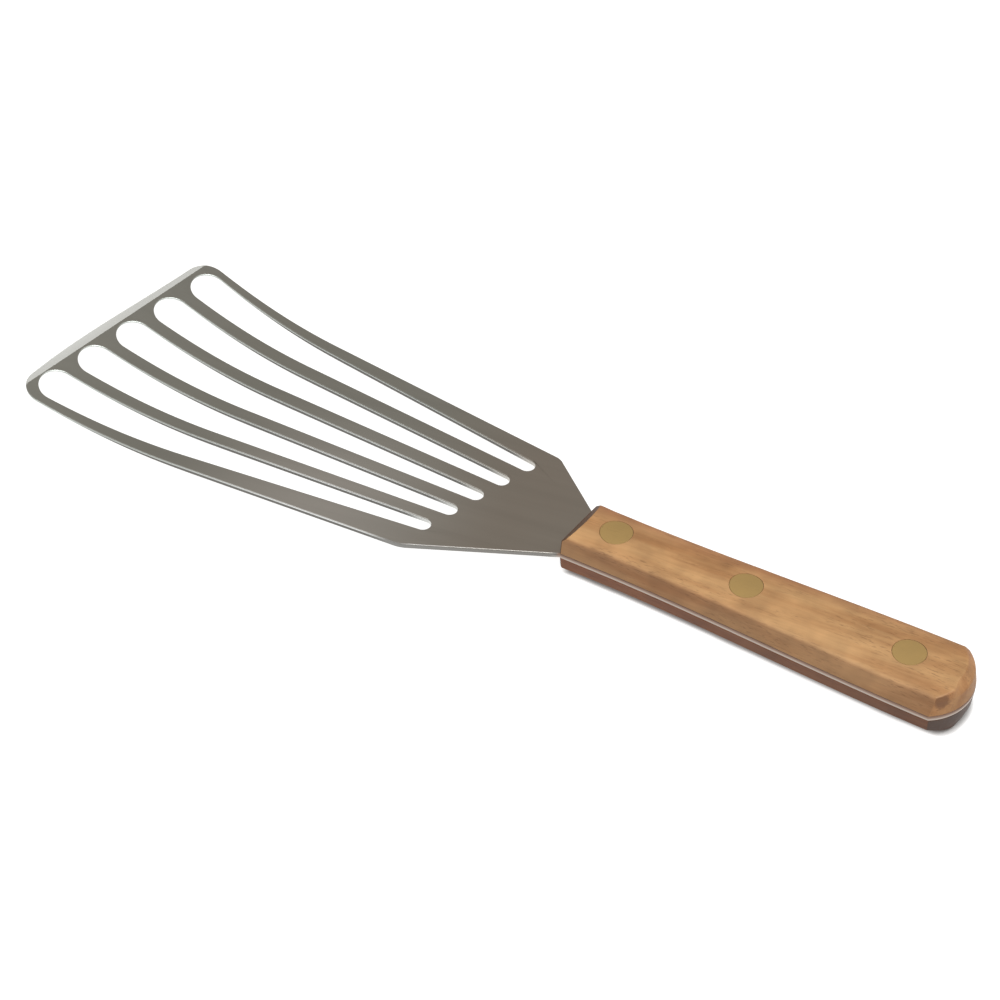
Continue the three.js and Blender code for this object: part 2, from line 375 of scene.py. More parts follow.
@dataclass(frozen=True)
class EndBevel:
    """A bevel across an end of a scale: how far it reaches along the handle and down the end's face."""

    length: float
    depth: float
    rounding: float

    def reach(self, depth: float | Array) -> float | Array:
        """How far the bevel stands back from the end's face at a depth below the crown's top."""
        return self.length * (1.0 - depth / self.depth)


@dataclass(frozen=True)
class HandleSizes:
    """The handle's plan and its scales' section: drafted sides, rounded crests and a crowned top."""

    rivets: RivetSizes = field(default_factory=RivetSizes)
    length: float = 115.4
    tang: Widths = Widths(18.4, 18.2, 24.3, 0.0)
    crest: Widths = Widths(16.7, 16.0, 20.8, 0.9)
    crest_depth: float = 1.05
    crest_rounding: float = 1.5
    waist_distance: float = 14.0
    butt_rise: float = 6.4
    scale_thickness: float = 6.52
    scale_foot: float = 0.78
    front_bevel: EndBevel = EndBevel(2.7, 2.5, 0.3)
    butt_bevel: EndBevel = EndBevel(2.1, 2.5, 0.6)
    butt_bevel_left: float = 0.2
    butt_bevel_change: Range = (0.2, 0.6)
    bevel_edge: float = 0.3
    front_lean: float = math.radians(4.2)
    front_lean_change: Range = (-7.0, -3.5)
    corner_radius: float = 0.6
    foot_edge: float = 0.2
    spine_margin: float = 4.6
    column_spacing: float = 3.0
    end_steps: int = 6
    butt_steps: int = 36
    front_steps: int = 20
    corner_steps: int = 5
    rounding_steps: int = 6
    face_steps: int = 8
    face_share: float = 0.7

    def lower(self) -> HandleSizes:
        """The lower scale's sizes: upright sides, a deep crown and narrow bevels.

        Returns:
            Sizes of a scale that is built as an upper one and mirrored.
        """
        return replace(
            self,
            crest=Widths(17.5, 17.0, 23.5, 0.4),
            crest_depth=2.5,
            crest_rounding=1.2,
            front_bevel=EndBevel(0.8, 3.2, 0.3),
            butt_bevel=EndBevel(1.0, 3.2, 0.4),
        )

    @property
    def scale_top(self) -> float:
        """Height of a scale's crown on the middle line."""
        return self.scale_foot + self.scale_thickness

    @property
    def side_end(self) -> float:
        """Where the sides end at the butt's arc."""
        return self.butt_rise - self.length

    @property
    def butt_radius(self) -> float:
        """Radius of the butt's arc, from its chord and its rise."""
        return ((self.tang.rear / 2.0) ** 2 + self.butt_rise ** 2) / (2.0 * self.butt_rise)

    @property
    def butt_centre(self) -> float:
        """Where the butt's arc has its centre on the middle line."""
        return self.butt_radius - self.length

    def half_width(self, x: float | Array, widths: Widths) -> Array:
        """Half the handle's width: a square law down to the waist, then an eased swell to the butt."""
        before_waist = np.clip(1.0 + np.asarray(x) / self.waist_distance, 0.0, None)
        swell = smooth_share(-np.asarray(x), self.waist_distance, -self.side_end)
        flare = (widths.front - widths.waist) * before_waist ** 2
        return (widths.waist + flare + (widths.rear - widths.waist) * swell) / 2.0

    def crown_depth(self, plan: Array) -> Array:
        """Depth of the crowned top below its middle: crest depth * (y / crest's half width) squared."""
        return self.crest_depth * (plan[..., 1] / self.half_width(plan[..., 0], self.crest)) ** 2

    def leaned(self, grid: Array) -> Array:
        """A grid with its front end leaned, fading out short of the first rivet.

        A point moves back by tan lean * (half the front's width - y).
        """
        fade = smooth_share(grid[..., 0], *self.front_lean_change)
        back = math.tan(self.front_lean) * (self.tang.front / 2.0 - grid[..., 1])
        return grid - stacked(back * fade, 0.0, 0.0)

    def crown_height(self, plan: Array) -> Array:
        """Height of the crowned top."""
        return self.scale_top - self.crown_depth(plan)

    @cached_property
    def columns(self) -> Array:
        """Columns beside the rivets as rows of centre, cosine and sine, from the front to the back.

        Beside a rivet the angle runs half round its hole. Between rivets cosine and sine are 0.
        """
        rows = []
        last_x = None
        for distance in self.rivets.distances.values():
            front_x = self.rivets.seat_radius - distance
            if last_x is not None:
                steps = math.ceil((last_x - front_x) / self.column_spacing)
                rows.append(stacked(mix(last_x, front_x, shares(steps))[1:-1], 0.0, 0.0))
            angles = self.rivets.half_turn
            rows.append(stacked(-distance, np.cos(angles), np.sin(angles)))
            last_x = -self.rivets.seat_radius - distance
        return np.concatenate(rows)

    def _side(self, front_x: float, corner: Array, widths: Widths, inset: float) -> Array:
        """The left side at one level, from its front corner to its butt corner.

        Args:
            front_x: Where the front corner lies.
            corner: The butt corner.
            widths: The level's widths.
            inset: How far the side is drawn in.

        Returns:
            The side's points in plan.
        """
        middle_x = self.columns[:, 0] + self.rivets.seat_radius * self.columns[:, 1]
        along = shares(self.end_steps)
        x = joined(mix(front_x, middle_x[0], along), middle_x, mix(middle_x[-1], corner[0], along))
        side = stacked(x, self.half_width(x, widths) - inset)
        side[-1] = corner
        return side

    def _looped(
        self, widths: Widths, inset: float, butt: Array, front: Array, corner_radius: float,
    ) -> Array:
        """Joins a level's sides and ends into one loop, left front corner first, against the clock.

        Args:
            widths: The level's widths.
            inset: How far the sides are drawn in.
            butt: The butt's points from its left corner to its right one.
            front: The front's points from its right corner to its left one.
            corner_radius: Radius of the four upright corners.

        Returns:
            The loop's points, without a repeated end.
        """
        mirror = np.array([1.0, -1.0])
        left = self._side(front[-1, 0], butt[0], widths, inset)
        right = self._side(front[0, 0], butt[-1] * mirror, widths, inset)[::-1] * mirror
        turns = shares(self.corner_steps)
        corners = (
            (front, left[0], left),
            (left, left[-1], butt),
            (butt, right[0], right),
            (right, right[-1], front),
        )
        runs = []
        for before, corner, after in corners:
            arc = Arc.in_corner(before[-2], corner, after[1], corner_radius)
            runs += [arc.points(turns), after[1:-1]]
        return np.concatenate(runs)

    def upright_loop(
        self, widths: Widths, inset: float, corner_radius: float, front_shares: Array,
    ) -> Array:
        """A level below the bevels: straight front, drawn sides and the butt's full arc.

        Args:
            widths: The level's widths.
            inset: How far the loop is drawn in at its sides and butt.
            corner_radius: Radius of the four upright corners.
            front_shares: Where the front's points lie, from its right end to its left.

        Returns:
            The loop in plan.
        """
        radius = self.butt_radius - inset - widths.butt_inset
        corner_angle = math.asin((float(self.half_width(self.side_end, widths)) - inset) / radius)
        angles = mix(corner_angle, -corner_angle, shares(self.butt_steps))
        butt = stacked(self.butt_centre - radius * np.cos(angles), radius * np.sin(angles))
        half_front = float(self.half_width(0.0, widths)) - inset
        front = stacked(0.0, mix(-half_front, half_front, front_shares))
        return self._looped(widths, inset, butt, front, corner_radius)

    def crest_loop(self, front_shares: Array) -> Array:
        """The crowned top's rim: the crests at the sides, and the bevels' upper lines at the ends.

        On a bevel's line the crown's depth says how far the bevel stands back from the end. The butt's
        bevel is narrower at its left.

        Args:
            front_shares: Where the front's points lie, from its right end to its left.

        Returns:
            The loop in plan.
        """
        across = 2.0 * front_shares - 1.0
        front_x = -self.front_bevel.reach(self.crest_depth * across ** 2)
        front = stacked(front_x, across * float(self.half_width(0.0, self.crest)))
        across = 1.0 - 2.0 * shares(self.butt_steps)
        butt_y = across * float(self.half_width(self.side_end, self.crest))
        narrowed = mix(1.0, self.butt_bevel_left, smooth_share(across, *self.butt_bevel_change))
        bevel = narrowed * self.butt_bevel.reach(self.crest_depth * across ** 2)
        radius = self.butt_radius - (self.crest.butt_inset + bevel)
        butt = stacked(self.butt_centre - np.sqrt(radius ** 2 - butt_y ** 2), butt_y)
        return self._looped(self.crest, 0.0, butt, front, self.corner_radius)

    def rim_roundings(self, front_shares: Array) -> Array:
        """How far the crowned top's rim is rounded in each column: broad crests, crisper ends.

        Args:
            front_shares: The front's shares, one column for each.

        Returns:
            One length for each point of the outline.
        """
        side = len(self.columns) + 2 * self.end_steps - 2
        corner = self.corner_steps + 1
        butt = self.butt_steps - 1
        front = len(front_shares) - 2
        front_corner = np.linspace(self.front_bevel.rounding, self.crest_rounding, corner)
        butt_corner = np.linspace(self.crest_rounding, self.butt_bevel.rounding, corner)
        return np.concatenate([
            front_corner,
            np.full(side, self.crest_rounding),
            butt_corner,
            np.full(butt, self.butt_bevel.rounding),
            butt_corner[::-1],
            np.full(side, self.crest_rounding),
            front_corner[::-1],
            np.full(front, self.front_bevel.rounding),
        ])

    def spine(self, hole_radius: float, front_shares: Array) -> Array:
        """Where a face's columns end: the middle line, which bulges round every rivet hole.

        Args:
            hole_radius: Radius of the rivet holes in this face.
            front_shares: The front's shares, one column for each.

        Returns:
            One point for each point of the outline.
        """
        centre, cosine, sine = self.columns.T
        bulge = stacked(centre + hole_radius * cosine, hole_radius * sine)
        front_end = np.array([-self.spine_margin, 0.0])
        rear_end = np.array([self.side_end + self.spine_margin, 0.0])
        end_shares = shares(self.end_steps)[:, None]
        from_front = mix(front_end, bulge[0], end_shares)
        to_rear = mix(bulge[-1], rear_end, end_shares)
        left = joined(from_front, bulge, to_rear)[1:-1]
        corner = self.corner_steps + 1
        return np.concatenate([
            np.tile(front_end, (corner, 1)),
            left,
            np.tile(rear_end, (2 * corner + self.butt_steps - 1, 1)),
            left[::-1] * (1.0, -1.0),
            np.tile(front_end, (corner + len(front_shares) - 2, 1)),
        ])

    def face(self, loop: Array, hole_radius: float, front_shares: Array) -> Array:
        """A face in plan, ruled from the spine to an outline, so that it faces up."""
        spine = self.spine(hole_radius, front_shares)
        return ruled(closed(spine), closed(loop), shares(self.face_steps))


def eased_corner(before: Array, corner: Array, after: Array, cut: float | Array, steps: int) -> Array:
    """Rows that round a corner line: a parabola from cut before the corner to cut after it.

    A cut is kept under nine tenths of the side before and half of the side after.

    Args:
        before: Points on the side before, one a column.
        corner: The corner line.
        after: Points on the side after.
        cut: How far the rounding reaches along both sides.
        steps: Rows less one.

    Returns:
        A grid of that many rows and one more.
    """
    back = before - corner
    ahead = after - corner
    back_length, ahead_length = (
        np.maximum(np.linalg.norm(side, axis=-1), WELD_DISTANCE) for side in (back, ahead)
    )
    back_share = np.minimum(CUT_BEFORE, cut / back_length)[:, None]
    ahead_share = np.minimum(CUT_AFTER, cut / ahead_length)[:, None]
    turn = shares(steps)[:, None, None]
    return corner + (1.0 - turn) ** 2 * back * back_share + turn ** 2 * ahead * ahead_share


class Layer(Enum):
    """The two scales, by the way their crown faces."""

    UPPER = 1
    LOWER = -1


@dataclass(frozen=True)
class HandleScale:
    """One wooden scale: a crowned slab with bevelled ends and stepped rivet holes."""

    layer: Layer
    sizes: HandleSizes

    @property
    def name(self) -> str:
        """The scale's name in words."""
        return self.layer.name.lower()

    def _wall(self, front_shares: Array) -> tuple[Array, Array]:
        """The scale's rim, bevels and sides, from the crowned top down to the eased foot.

        In each column a line runs from the crown over the rim to the bevel's lower line and down to the
        foot, and parabolas round its corners.

        Args:
            front_shares: Where the front's points lie.

        Returns:
            The crowned face in plan, and the wall's grid from top to bottom.
        """
        sizes = self.sizes
        bevel_depth = sizes.front_bevel.depth
        drawn = (sizes.scale_thickness - bevel_depth) / (sizes.scale_thickness - sizes.crest_depth)
        crest = sizes.crest_loop(front_shares)
        spine = sizes.spine(sizes.rivets.seat_radius, front_shares)
        inner = mix(spine, crest, sizes.face_share)
        shoulder = sizes.upright_loop(
            sizes.tang.towards(sizes.crest, drawn), 0.0, sizes.corner_radius, front_shares,
        )
        foot = sizes.upright_loop(sizes.tang, 0.0, sizes.corner_radius, front_shares)
        eased_foot = sizes.upright_loop(sizes.tang, sizes.foot_edge, sizes.corner_radius, front_shares)
        lines = [
            closed(at_height(inner, sizes.crown_height(inner))),
            closed(at_height(crest, sizes.crown_height(crest))),
            closed(at_height(shoulder, sizes.scale_top - bevel_depth)),
            closed(at_height(foot, sizes.scale_foot)),
            closed(at_height(eased_foot, sizes.scale_foot)),
        ]
        cuts = (closed(sizes.rim_roundings(front_shares)), sizes.bevel_edge, sizes.foot_edge)
        rounded = [
            eased_corner(*lines[first:first + 3], cut, sizes.rounding_steps)
            for first, cut in enumerate(cuts)
        ]
        wall = np.concatenate([lines[0][None], *rounded[:-1], rounded[-1][:-1], lines[-1][None]])
        return sizes.face(inner, sizes.rivets.seat_radius, front_shares), wall

    def build(self, placement: Placement) -> bpy.types.Object:
        """Builds the scale: crowned top, rim and sides, foot and rivet holes.

        A row just under each hole's rim keeps the crown's shading off the wall. The lower scale is built
        as an upper one and mirrored through the tang's middle, with its rows turned round.

        Args:
            placement: Carries the scale into the frame.

        Returns:
            The scale's object.
        """
        sizes = self.sizes
        rivets = sizes.rivets
        front_shares = shares(sizes.front_steps)
        top, wall = self._wall(front_shares)
        foot = sizes.face(wall[-1, :-1, :2], rivets.shank_hole_radius, front_shares)[::-1]
        seat = sizes.scale_top - rivets.head_recess - rivets.head_thickness - rivets.seat_clearance
        hole = np.array([
            (rivets.shank_hole_radius, sizes.scale_foot),
            (rivets.shank_hole_radius, seat),
            (rivets.seat_radius, seat),
            (rivets.seat_radius, sizes.scale_top),
            (rivets.seat_radius, sizes.scale_top),
        ])
        grids = [wall, at_height(top, sizes.crown_height(top)), at_height(foot, sizes.scale_foot)]
        for distance in rivets.distances.values():
            grid = rivets.turned(hole, distance)
            grid[-2:, :, 2] = sizes.crown_height(grid[-2:]) - np.array([[rivets.rim_guard], [0.0]])
            grids.append(grid)
        skin = Skin()
        for grid in grids:
            if self.layer is Layer.LOWER:
                grid = grid[::-1] * (1.0, 1.0, -1.0)
            skin.add(sizes.leaned(grid))
        return skin.to_object(f"{self.name}_wood_scale", placement)

    def dress(self, piece: bpy.types.Object, material: bpy.types.Material) -> None:
        """Gives the scale its wood and its place in the frame."""
        dress(piece, material, "wood", f"{self.name}_scale")


@dataclass(frozen=True)
class Rivet:
    """One rivet: a headed post from above, driven into a headed sleeve from below, both ground flush."""

    place: str
    upper: HandleSizes
    lower: HandleSizes

    def _head(self, sizes: HandleSizes) -> Array:
        """A head's turned face from its middle to its rounded rim, lying in the crowned top.

        Each point lies below the crown by the recess, and at the rim by the rounding's own fall besides.

        Args:
            sizes: The scale that the head lies in.

        Returns:
            A grid whose rows run outwards.
        """
        rivets = sizes.rivets
        angles = RIGHT_ANGLE * shares(rivets.rim_steps)
        flat_radius = rivets.head_radius - rivets.head_edge
        face = np.append(flat_radius * shares(rivets.face_steps)[:-1], flat_radius - rivets.head_edge)
        radius = np.concatenate([face, flat_radius + rivets.head_edge * np.sin(angles)])
        fall = np.concatenate([np.zeros(len(face)), rivets.head_edge * (1.0 - np.cos(angles))])
        grid = rivets.turned(stacked(radius, fall), rivets.distances[self.place])
        grid[..., 2] = sizes.crown_height(grid) - rivets.head_recess - grid[..., 2]
        return grid

    def build_post(self, placement: Placement) -> bpy.types.Object:
        """Builds the post by turning its profile: head, then the pin that fills the sleeve's bore.

        Args:
            placement: Carries the post into the frame.

        Returns:
            The post's object.
        """
        rivets = self.upper.rivets
        seat = self.upper.scale_top - rivets.head_recess - rivets.head_thickness
        pin_end = -seat + rivets.pin_end_gap
        shank = np.array([
            (rivets.head_radius, seat),
            (rivets.pin_radius, seat),
            (rivets.pin_radius, pin_end),
            (0.0, pin_end),
        ])
        turned_shank = rivets.turned(shank, rivets.distances[self.place])
        skin = Skin()
        skin.add(np.concatenate([self._head(self.upper), turned_shank]))
        return skin.to_object(f"{self.place}_brass_post", placement)

    def build_sleeve(self, placement: Placement) -> bpy.types.Object:
        """Builds the sleeve by turning its profile: head below, tube and blind bore above.

        Args:
            placement: Carries the sleeve into the frame.

        Returns:
            The sleeve's object.
        """
        rivets = self.lower.rivets
        seat = rivets.head_recess + rivets.head_thickness - self.lower.scale_top
        tube_end = -seat - rivets.seat_clearance
        bore = rivets.pin_radius + rivets.pin_clearance
        tube = np.array([
            (0.0, seat),
            (bore, seat),
            (bore, tube_end),
            (rivets.sleeve_radius, tube_end),
            (rivets.sleeve_radius, seat),
            (rivets.head_radius, seat),
        ])
        head = self._head(self.lower)[::-1] * (1.0, 1.0, -1.0)
        skin = Skin()
        skin.add(np.concatenate([rivets.turned(tube, rivets.distances[self.place]), head]))
        return skin.to_object(f"{self.place}_brass_sleeve", placement)

    def dress(
        self, post: bpy.types.Object, sleeve: bpy.types.Object, material: bpy.types.Material,
    ) -> None:
        """Gives post and sleeve their brass and their places in the frame."""
        dress(post, material, "brass", f"{self.place}_rivet_post")
        dress(sleeve, material, "brass", f"{self.place}_rivet_sleeve")


@dataclass(frozen=True)
class Corner:
    """A corner of the blade's outline and the radius that rounds it."""

    x: float
    y: float
    radius: float

    @property
    def point(self) -> Array:
        """The sharp corner."""
        return np.array([self.x, self.y])


@dataclass(frozen=True)
class BladeSizes:
    """The blade's outline, its bent and ground section and its slots."""

    handle: HandleSizes
    length: float = 157.64
    tip_width: float = 75.95
    tip_offset: float = -1.62
    tip_lean: float = math.radians(9.0)
    tip_bow: float = 0.8
    left_tip_radius: float = 6.2
    right_tip_radius: float = 6.6
    left_shoulder: Corner = Corner(38.8, 27.9, 9.0)
    right_shoulder: Corner = Corner(18.9, -24.1, 4.0)
    thickness: float = 1.5
    tip_thickness: float = 0.6
    tip_height: float = 0.55
    taper_start: float = 100.0
    edge_thickness: float = 0.1
    bevel_width: float = 1.85
    neck_set: float = math.radians(0.6)
    neck_set_distance: float = 1.5
    flat_length: float = 104.6
    curve_radius: float = 161.6
    slot_count: int = 5
    edge_bar_at_tip: float = 3.4
    bar_at_tip: float = 4.05
    bar_at_root: float = 4.4
    root_span: float = 39.1
    root_offset: float = 0.5
    root_distance: float = 31.5
    root_lean: float = math.radians(19.2)
    tip_web: float = 0.44
    tip_web_step: float = 0.28
    edge_radius: float = 0.4
    lower_edge_radius: float = 0.15
    edge_share: float = 0.4
    sharp_tip: Range = (10.0, 38.0)
    # How much painted shade the rough fracture edges carry on the outline and the slots, and how soon it
    # changes past the slots' roots.
    outline_torn_shade: float = 0.85
    slot_torn_shade: float = 0.1
    torn_shade_change: float = 8.0
    ground_change: float = 0.2
    # How much of the wood's painted shadow the tang's lower round carries.
    tang_lower_shade: float = 0.4

    @property
    def slot_tip_radius(self) -> float:
        """Radius of a slot's wide end, from what the bars leave of the tip's width."""
        bars = 2.0 * self.edge_bar_at_tip + (self.slot_count - 1) * self.bar_at_tip
        return (self.tip_width - bars) / self.slot_count / 2.0

    @property
    def slot_root_radius(self) -> float:
        """Radius of a slot's narrow end, from what the bars leave of the root's span."""
        return (self.root_span - (self.slot_count - 1) * self.bar_at_root) / self.slot_count / 2.0

    @property
    def tip_reach(self) -> float:
        """Distance of the tip's edge, square to it."""
        return self.length * math.cos(self.tip_lean)

    @property
    def bevel_start(self) -> float:
        """Distance of the ground bevel's upper line, square to the tip."""
        return self.tip_reach - self.bevel_width

    @property
    def square(self) -> Array:
        """Direction in plan square to the slanted tip."""
        return np.array([math.cos(self.tip_lean), -math.sin(self.tip_lean)])

    def tip_edge(self, y: float) -> Array:
        """The point of the slanted tip edge at y."""
        return np.array([self.length + y * math.tan(self.tip_lean), y])

    def reach(self, plan: Array) -> Array:
        """Distance of points in plan from the handle's front end, square to the slanted tip."""
        return plan[..., 0] * math.cos(self.tip_lean) - plan[..., 1] * math.sin(self.tip_lean)

    def middle(self, reach: Array) -> tuple[Array, Array]:
        """Height and slope of the sheet's middle.

        It is level in the handle, falls by the neck's set to the curve's start, and rises along a circle
        beyond, where the sine of the slope grows evenly with distance.

        Args:
            reach: Distances square to the tip.

        Returns:
            Heights and slopes.
        """
        neck = self.handle.tang.front / 2.0 * math.sin(self.tip_lean) + self.neck_set_distance
        curve_start = self.flat_length * math.cos(self.tip_lean)
        fallen = np.clip(reach, neck, curve_start) - neck
        sine = np.clip(reach - curve_start, 0.0, None) / self.curve_radius - math.sin(self.neck_set)
        slope = np.where(reach > neck, np.arcsin(sine), 0.0)
        risen = self.curve_radius * (math.cos(self.neck_set) - np.cos(slope))
        height = np.where(reach > curve_start, risen, 0.0) - fallen * math.tan(self.neck_set)
        return height, slope

    def faces(self, reach: Array) -> tuple[Array, Array]:
        """Heights of the upper and lower face above the sheet's middle.

        The sheet thins evenly from below towards the bevel, which takes the upper face down to the thin
        edge.

        Args:
            reach: Distances square to the tip.

        Returns:
            Heights of the upper face and of the lower face.
        """
        taper_from = self.taper_start * math.cos(self.tip_lean)
        taper = np.clip((reach - taper_from) / (self.bevel_start - taper_from), 0.0, 1.0)
        upper = mix(self.thickness / 2.0, self.tip_height, taper)
        lower = upper - mix(self.thickness, self.tip_thickness, taper)
        bevel = np.clip((reach - self.bevel_start) / self.bevel_width, 0.0, 1.0)
        return upper - (self.tip_thickness - self.edge_thickness) * bevel, lower

    def raised(self, plan: Array, height: Array) -> Array:
        """Lifts points of the plan to a height square to the bent sheet's middle."""
        middle, slope = self.middle(self.reach(plan))
        forward = (-np.sin(slope) * height)[..., None] * self.square
        return at_height(plan + forward, middle + np.cos(slope) * height)

    def roundness(self, reach: Array) -> Array:
        """How much of the upper edge's rounding is left: it fades out towards the sharp tip."""
        return smooth_share(self.tip_reach - reach, *self.sharp_tip)


@dataclass(frozen=True)
class Slot:
    """One slot of the blade: two round ends and the straight sides that touch both."""

    root: Array
    root_radius: float
    tip: Array
    tip_radius: float

    @property
    def heading(self) -> float:
        """Direction from the narrow end to the wide one."""
        along = self.tip - self.root
        return math.atan2(along[1], along[0])

    @property
    def touch(self) -> float:
        """Angle from the heading at which the sides touch the round ends."""
        length = float(np.linalg.norm(self.tip - self.root))
        return RIGHT_ANGLE + math.asin((self.tip_radius - self.root_radius) / length)

    def root_end(self, along: Array) -> Array:
        """The narrow end from its right side, round the back, to its left side."""
        start = self.heading + FULL_TURN - self.touch
        return Arc(self.root, self.root_radius, start, 2.0 * self.touch - FULL_TURN).points(along)

    def tip_end(self, along: Array) -> Array:
        """The wide end from its right side, round the front, to its left side."""
        return Arc(self.tip, self.tip_radius, self.heading - self.touch, 2.0 * self.touch).points(along)


@dataclass(frozen=True)
class BladeMesh:
    """How finely the blade's surfaces are divided."""

    neck_rows: int = 16
    shoulder_rows: int = 10
    bar_rows: int = 72
    bar_columns: int = 4
    slot_columns: int = 36
    web_rows: int = 8
    bevel_rows: int = 4
    bevel_line: float = 0.03
    corner_lane: float = 0.8
    wall_row: float = 1.3
    rounding_steps: int = 6


@dataclass(frozen=True)
class OuterSide:
    """An outer side of the blade as lines in plan, from the neck to the tip's edge.

    The bar's edge has the shares of its length with it. The round tip corner comes in two stretches,
    before and past the bevel's line.
    """

    neck: Array
    edge: Array
    edge_shares: Array
    web: Array
    bevel: Array


@dataclass(frozen=True)
class Blade:
    """The slotted blade with its tang: one bent sheet with rounded edges."""

    sizes: BladeSizes
    mesh: BladeMesh = field(default_factory=BladeMesh)

    @cached_property
    def slots(self) -> list[Slot]:
        """The slots' outlines on the faces, from right to left, wider by the edges' rounding."""
        sizes = self.sizes
        root_pitch = 2.0 * sizes.slot_root_radius + sizes.bar_at_root
        tip_pitch = 2.0 * sizes.slot_tip_radius + sizes.bar_at_tip
        slots = []
        for index in range(sizes.slot_count):
            place = index - (sizes.slot_count - 1) / 2.0
            web = sizes.tip_web + sizes.tip_web_step * (sizes.slot_count - 1 - index)
            clear = sizes.bevel_width + web + sizes.slot_tip_radius
            root_y = place * root_pitch
            root_x = sizes.root_distance + root_y * math.tan(sizes.root_lean)
            tip_edge = sizes.tip_edge(sizes.tip_offset + place * tip_pitch)
            slots.append(Slot(
                np.array([root_x, sizes.root_offset + root_y]),
                sizes.slot_root_radius + sizes.edge_radius,
                tip_edge - (clear / math.cos(sizes.tip_lean), 0.0),
                sizes.slot_tip_radius + sizes.edge_radius,
            ))
        return slots

    @cached_property
    def _corners(self) -> Array:
        """The outline's corners drawn in by the edge radius: right neck, shoulder, tip, then left ones.

        A corner moves by radius * (n1 + n2) / (1 + n1 . n2), with n1, n2 the inward normals of its sides.
        """
        sizes = self.sizes
        neck = sizes.handle.tang.front / 2.0
        half_tip = sizes.tip_width / 2.0
        corners = np.array([
            (0.0, -neck),
            sizes.right_shoulder.point,
            sizes.tip_edge(sizes.tip_offset - half_tip),
            sizes.tip_edge(sizes.tip_offset + half_tip),
            sizes.left_shoulder.point,
            (0.0, neck),
        ])
        sides = np.roll(corners, -1, axis=0) - corners
        sides /= np.linalg.norm(sides, axis=1, keepdims=True)
        inward = stacked(-sides[:, 1], sides[:, 0])
        before = np.roll(inward, 1, axis=0)
        apart = 1.0 + (before * inward).sum(axis=1, keepdims=True)
        inset = corners + sizes.edge_radius * (before + inward) / apart
        inset[0] = corners[0] + (0.0, sizes.edge_radius)
        inset[-1] = corners[-1] - (0.0, sizes.edge_radius)
        return inset

    def _side(self, corners: Array, shoulder_radius: float, tip_radius: float) -> OuterSide:
        """One outer side of the blade, from the neck to the tip's edge.

        Args:
            corners: Its drawn-in corners at the neck, the shoulder and the tip, and the other tip corner.
            shoulder_radius: Radius at the shoulder.
            tip_radius: Radius at the tip.

        Returns:
            The side's lines.
        """
        mesh = self.mesh
        sizes = self.sizes
        neck, shoulder, tip, across = corners
        bend = Arc.in_corner(neck, shoulder, tip, shoulder_radius)
        round_tip = Arc.in_corner(shoulder, tip, across, tip_radius - sizes.edge_radius)
        bent = bend.points(shares(mesh.shoulder_rows))
        run_end = round_tip.points(np.zeros(1))
        run = mix(bent[-1:], run_end, shares(mesh.bar_rows - mesh.shoulder_rows)[:, None])
        edge = joined(bent, run)
        past_line = math.acos((tip_radius - sizes.bevel_width) / round_tip.radius) / abs(round_tip.turn)
        return OuterSide(
            neck=mix(neck, bent[0], shares(mesh.neck_rows)[:, None]),
            edge=edge,
            edge_shares=travelled_shares(edge),
            web=round_tip.points(mix(0.0, 1.0 - past_line, shares(mesh.web_rows))),
            bevel=round_tip.points(mix(1.0 - past_line, 1.0, self._bevel_shares)),
        )

    @cached_property
    def _bevel_shares(self) -> Array:
        """Rows across the bevel, with a narrow first row that keeps its upper line crisp."""
        return np.concatenate([[0.0], np.linspace(self.mesh.bevel_line, 1.0, self.mesh.bevel_rows)])

    @cached_property
    def _right(self) -> OuterSide:
        """The blade's right outer side."""
        sizes = self.sizes
        radius = sizes.right_shoulder.radius + sizes.edge_radius
        return self._side(self._corners[:4], radius, sizes.right_tip_radius)

    @cached_property
    def _left(self) -> OuterSide:
        """The blade's left outer side."""
        sizes = self.sizes
        radius = sizes.left_shoulder.radius + sizes.edge_radius
        return self._side(self._corners[:1:-1], radius, sizes.left_tip_radius)

    @cached_property
    def _bars(self) -> list[tuple[Array, Array]]:
        """Each bar's right and left edge from root to tip, from the right bar to the left one."""
        inner_rows = [shares(self.mesh.bar_rows)] * (self.sizes.slot_count - 1)
        rows = [self._right.edge_shares, *inner_rows, self._left.edge_shares]
        right_edges = [self._right.edge]
        left_edges = []
        ends = np.array([0.0, 1.0])
        for index, slot in enumerate(self.slots):
            root = slot.root_end(ends)
            tip = slot.tip_end(ends)
            left_edges.append(mix(root[0], tip[0], rows[index][:, None]))
            right_edges.append(mix(root[1], tip[1], rows[index + 1][:, None]))
        left_edges.append(self._left.edge)
        return list(zip(right_edges, left_edges))

    def _cross_line(self, row: int) -> Array:
        """The line across all bars at their roots or tips, round the slots' ends.

        Args:
            row: 0 for the roots, -1 for the tips.

        Returns:
            Points from the right edge to the left one.
        """
        lane = shares(self.mesh.bar_columns)[:, None]
        turn = shares(self.mesh.slot_columns)
        runs = []
        for index, (right, left) in enumerate(self._bars):
            runs.append(mix(right[row], left[row], lane))
            if index < self.sizes.slot_count:
                slot = self.slots[index]
                runs.append(slot.root_end(turn) if row == 0 else slot.tip_end(turn))
        return joined(*runs)

    @cached_property
    def _neck_shares(self) -> Array:
        """Where the root line's columns start on the handle's front line, by their travelled length."""
        return travelled_shares(self._cross_line(0))

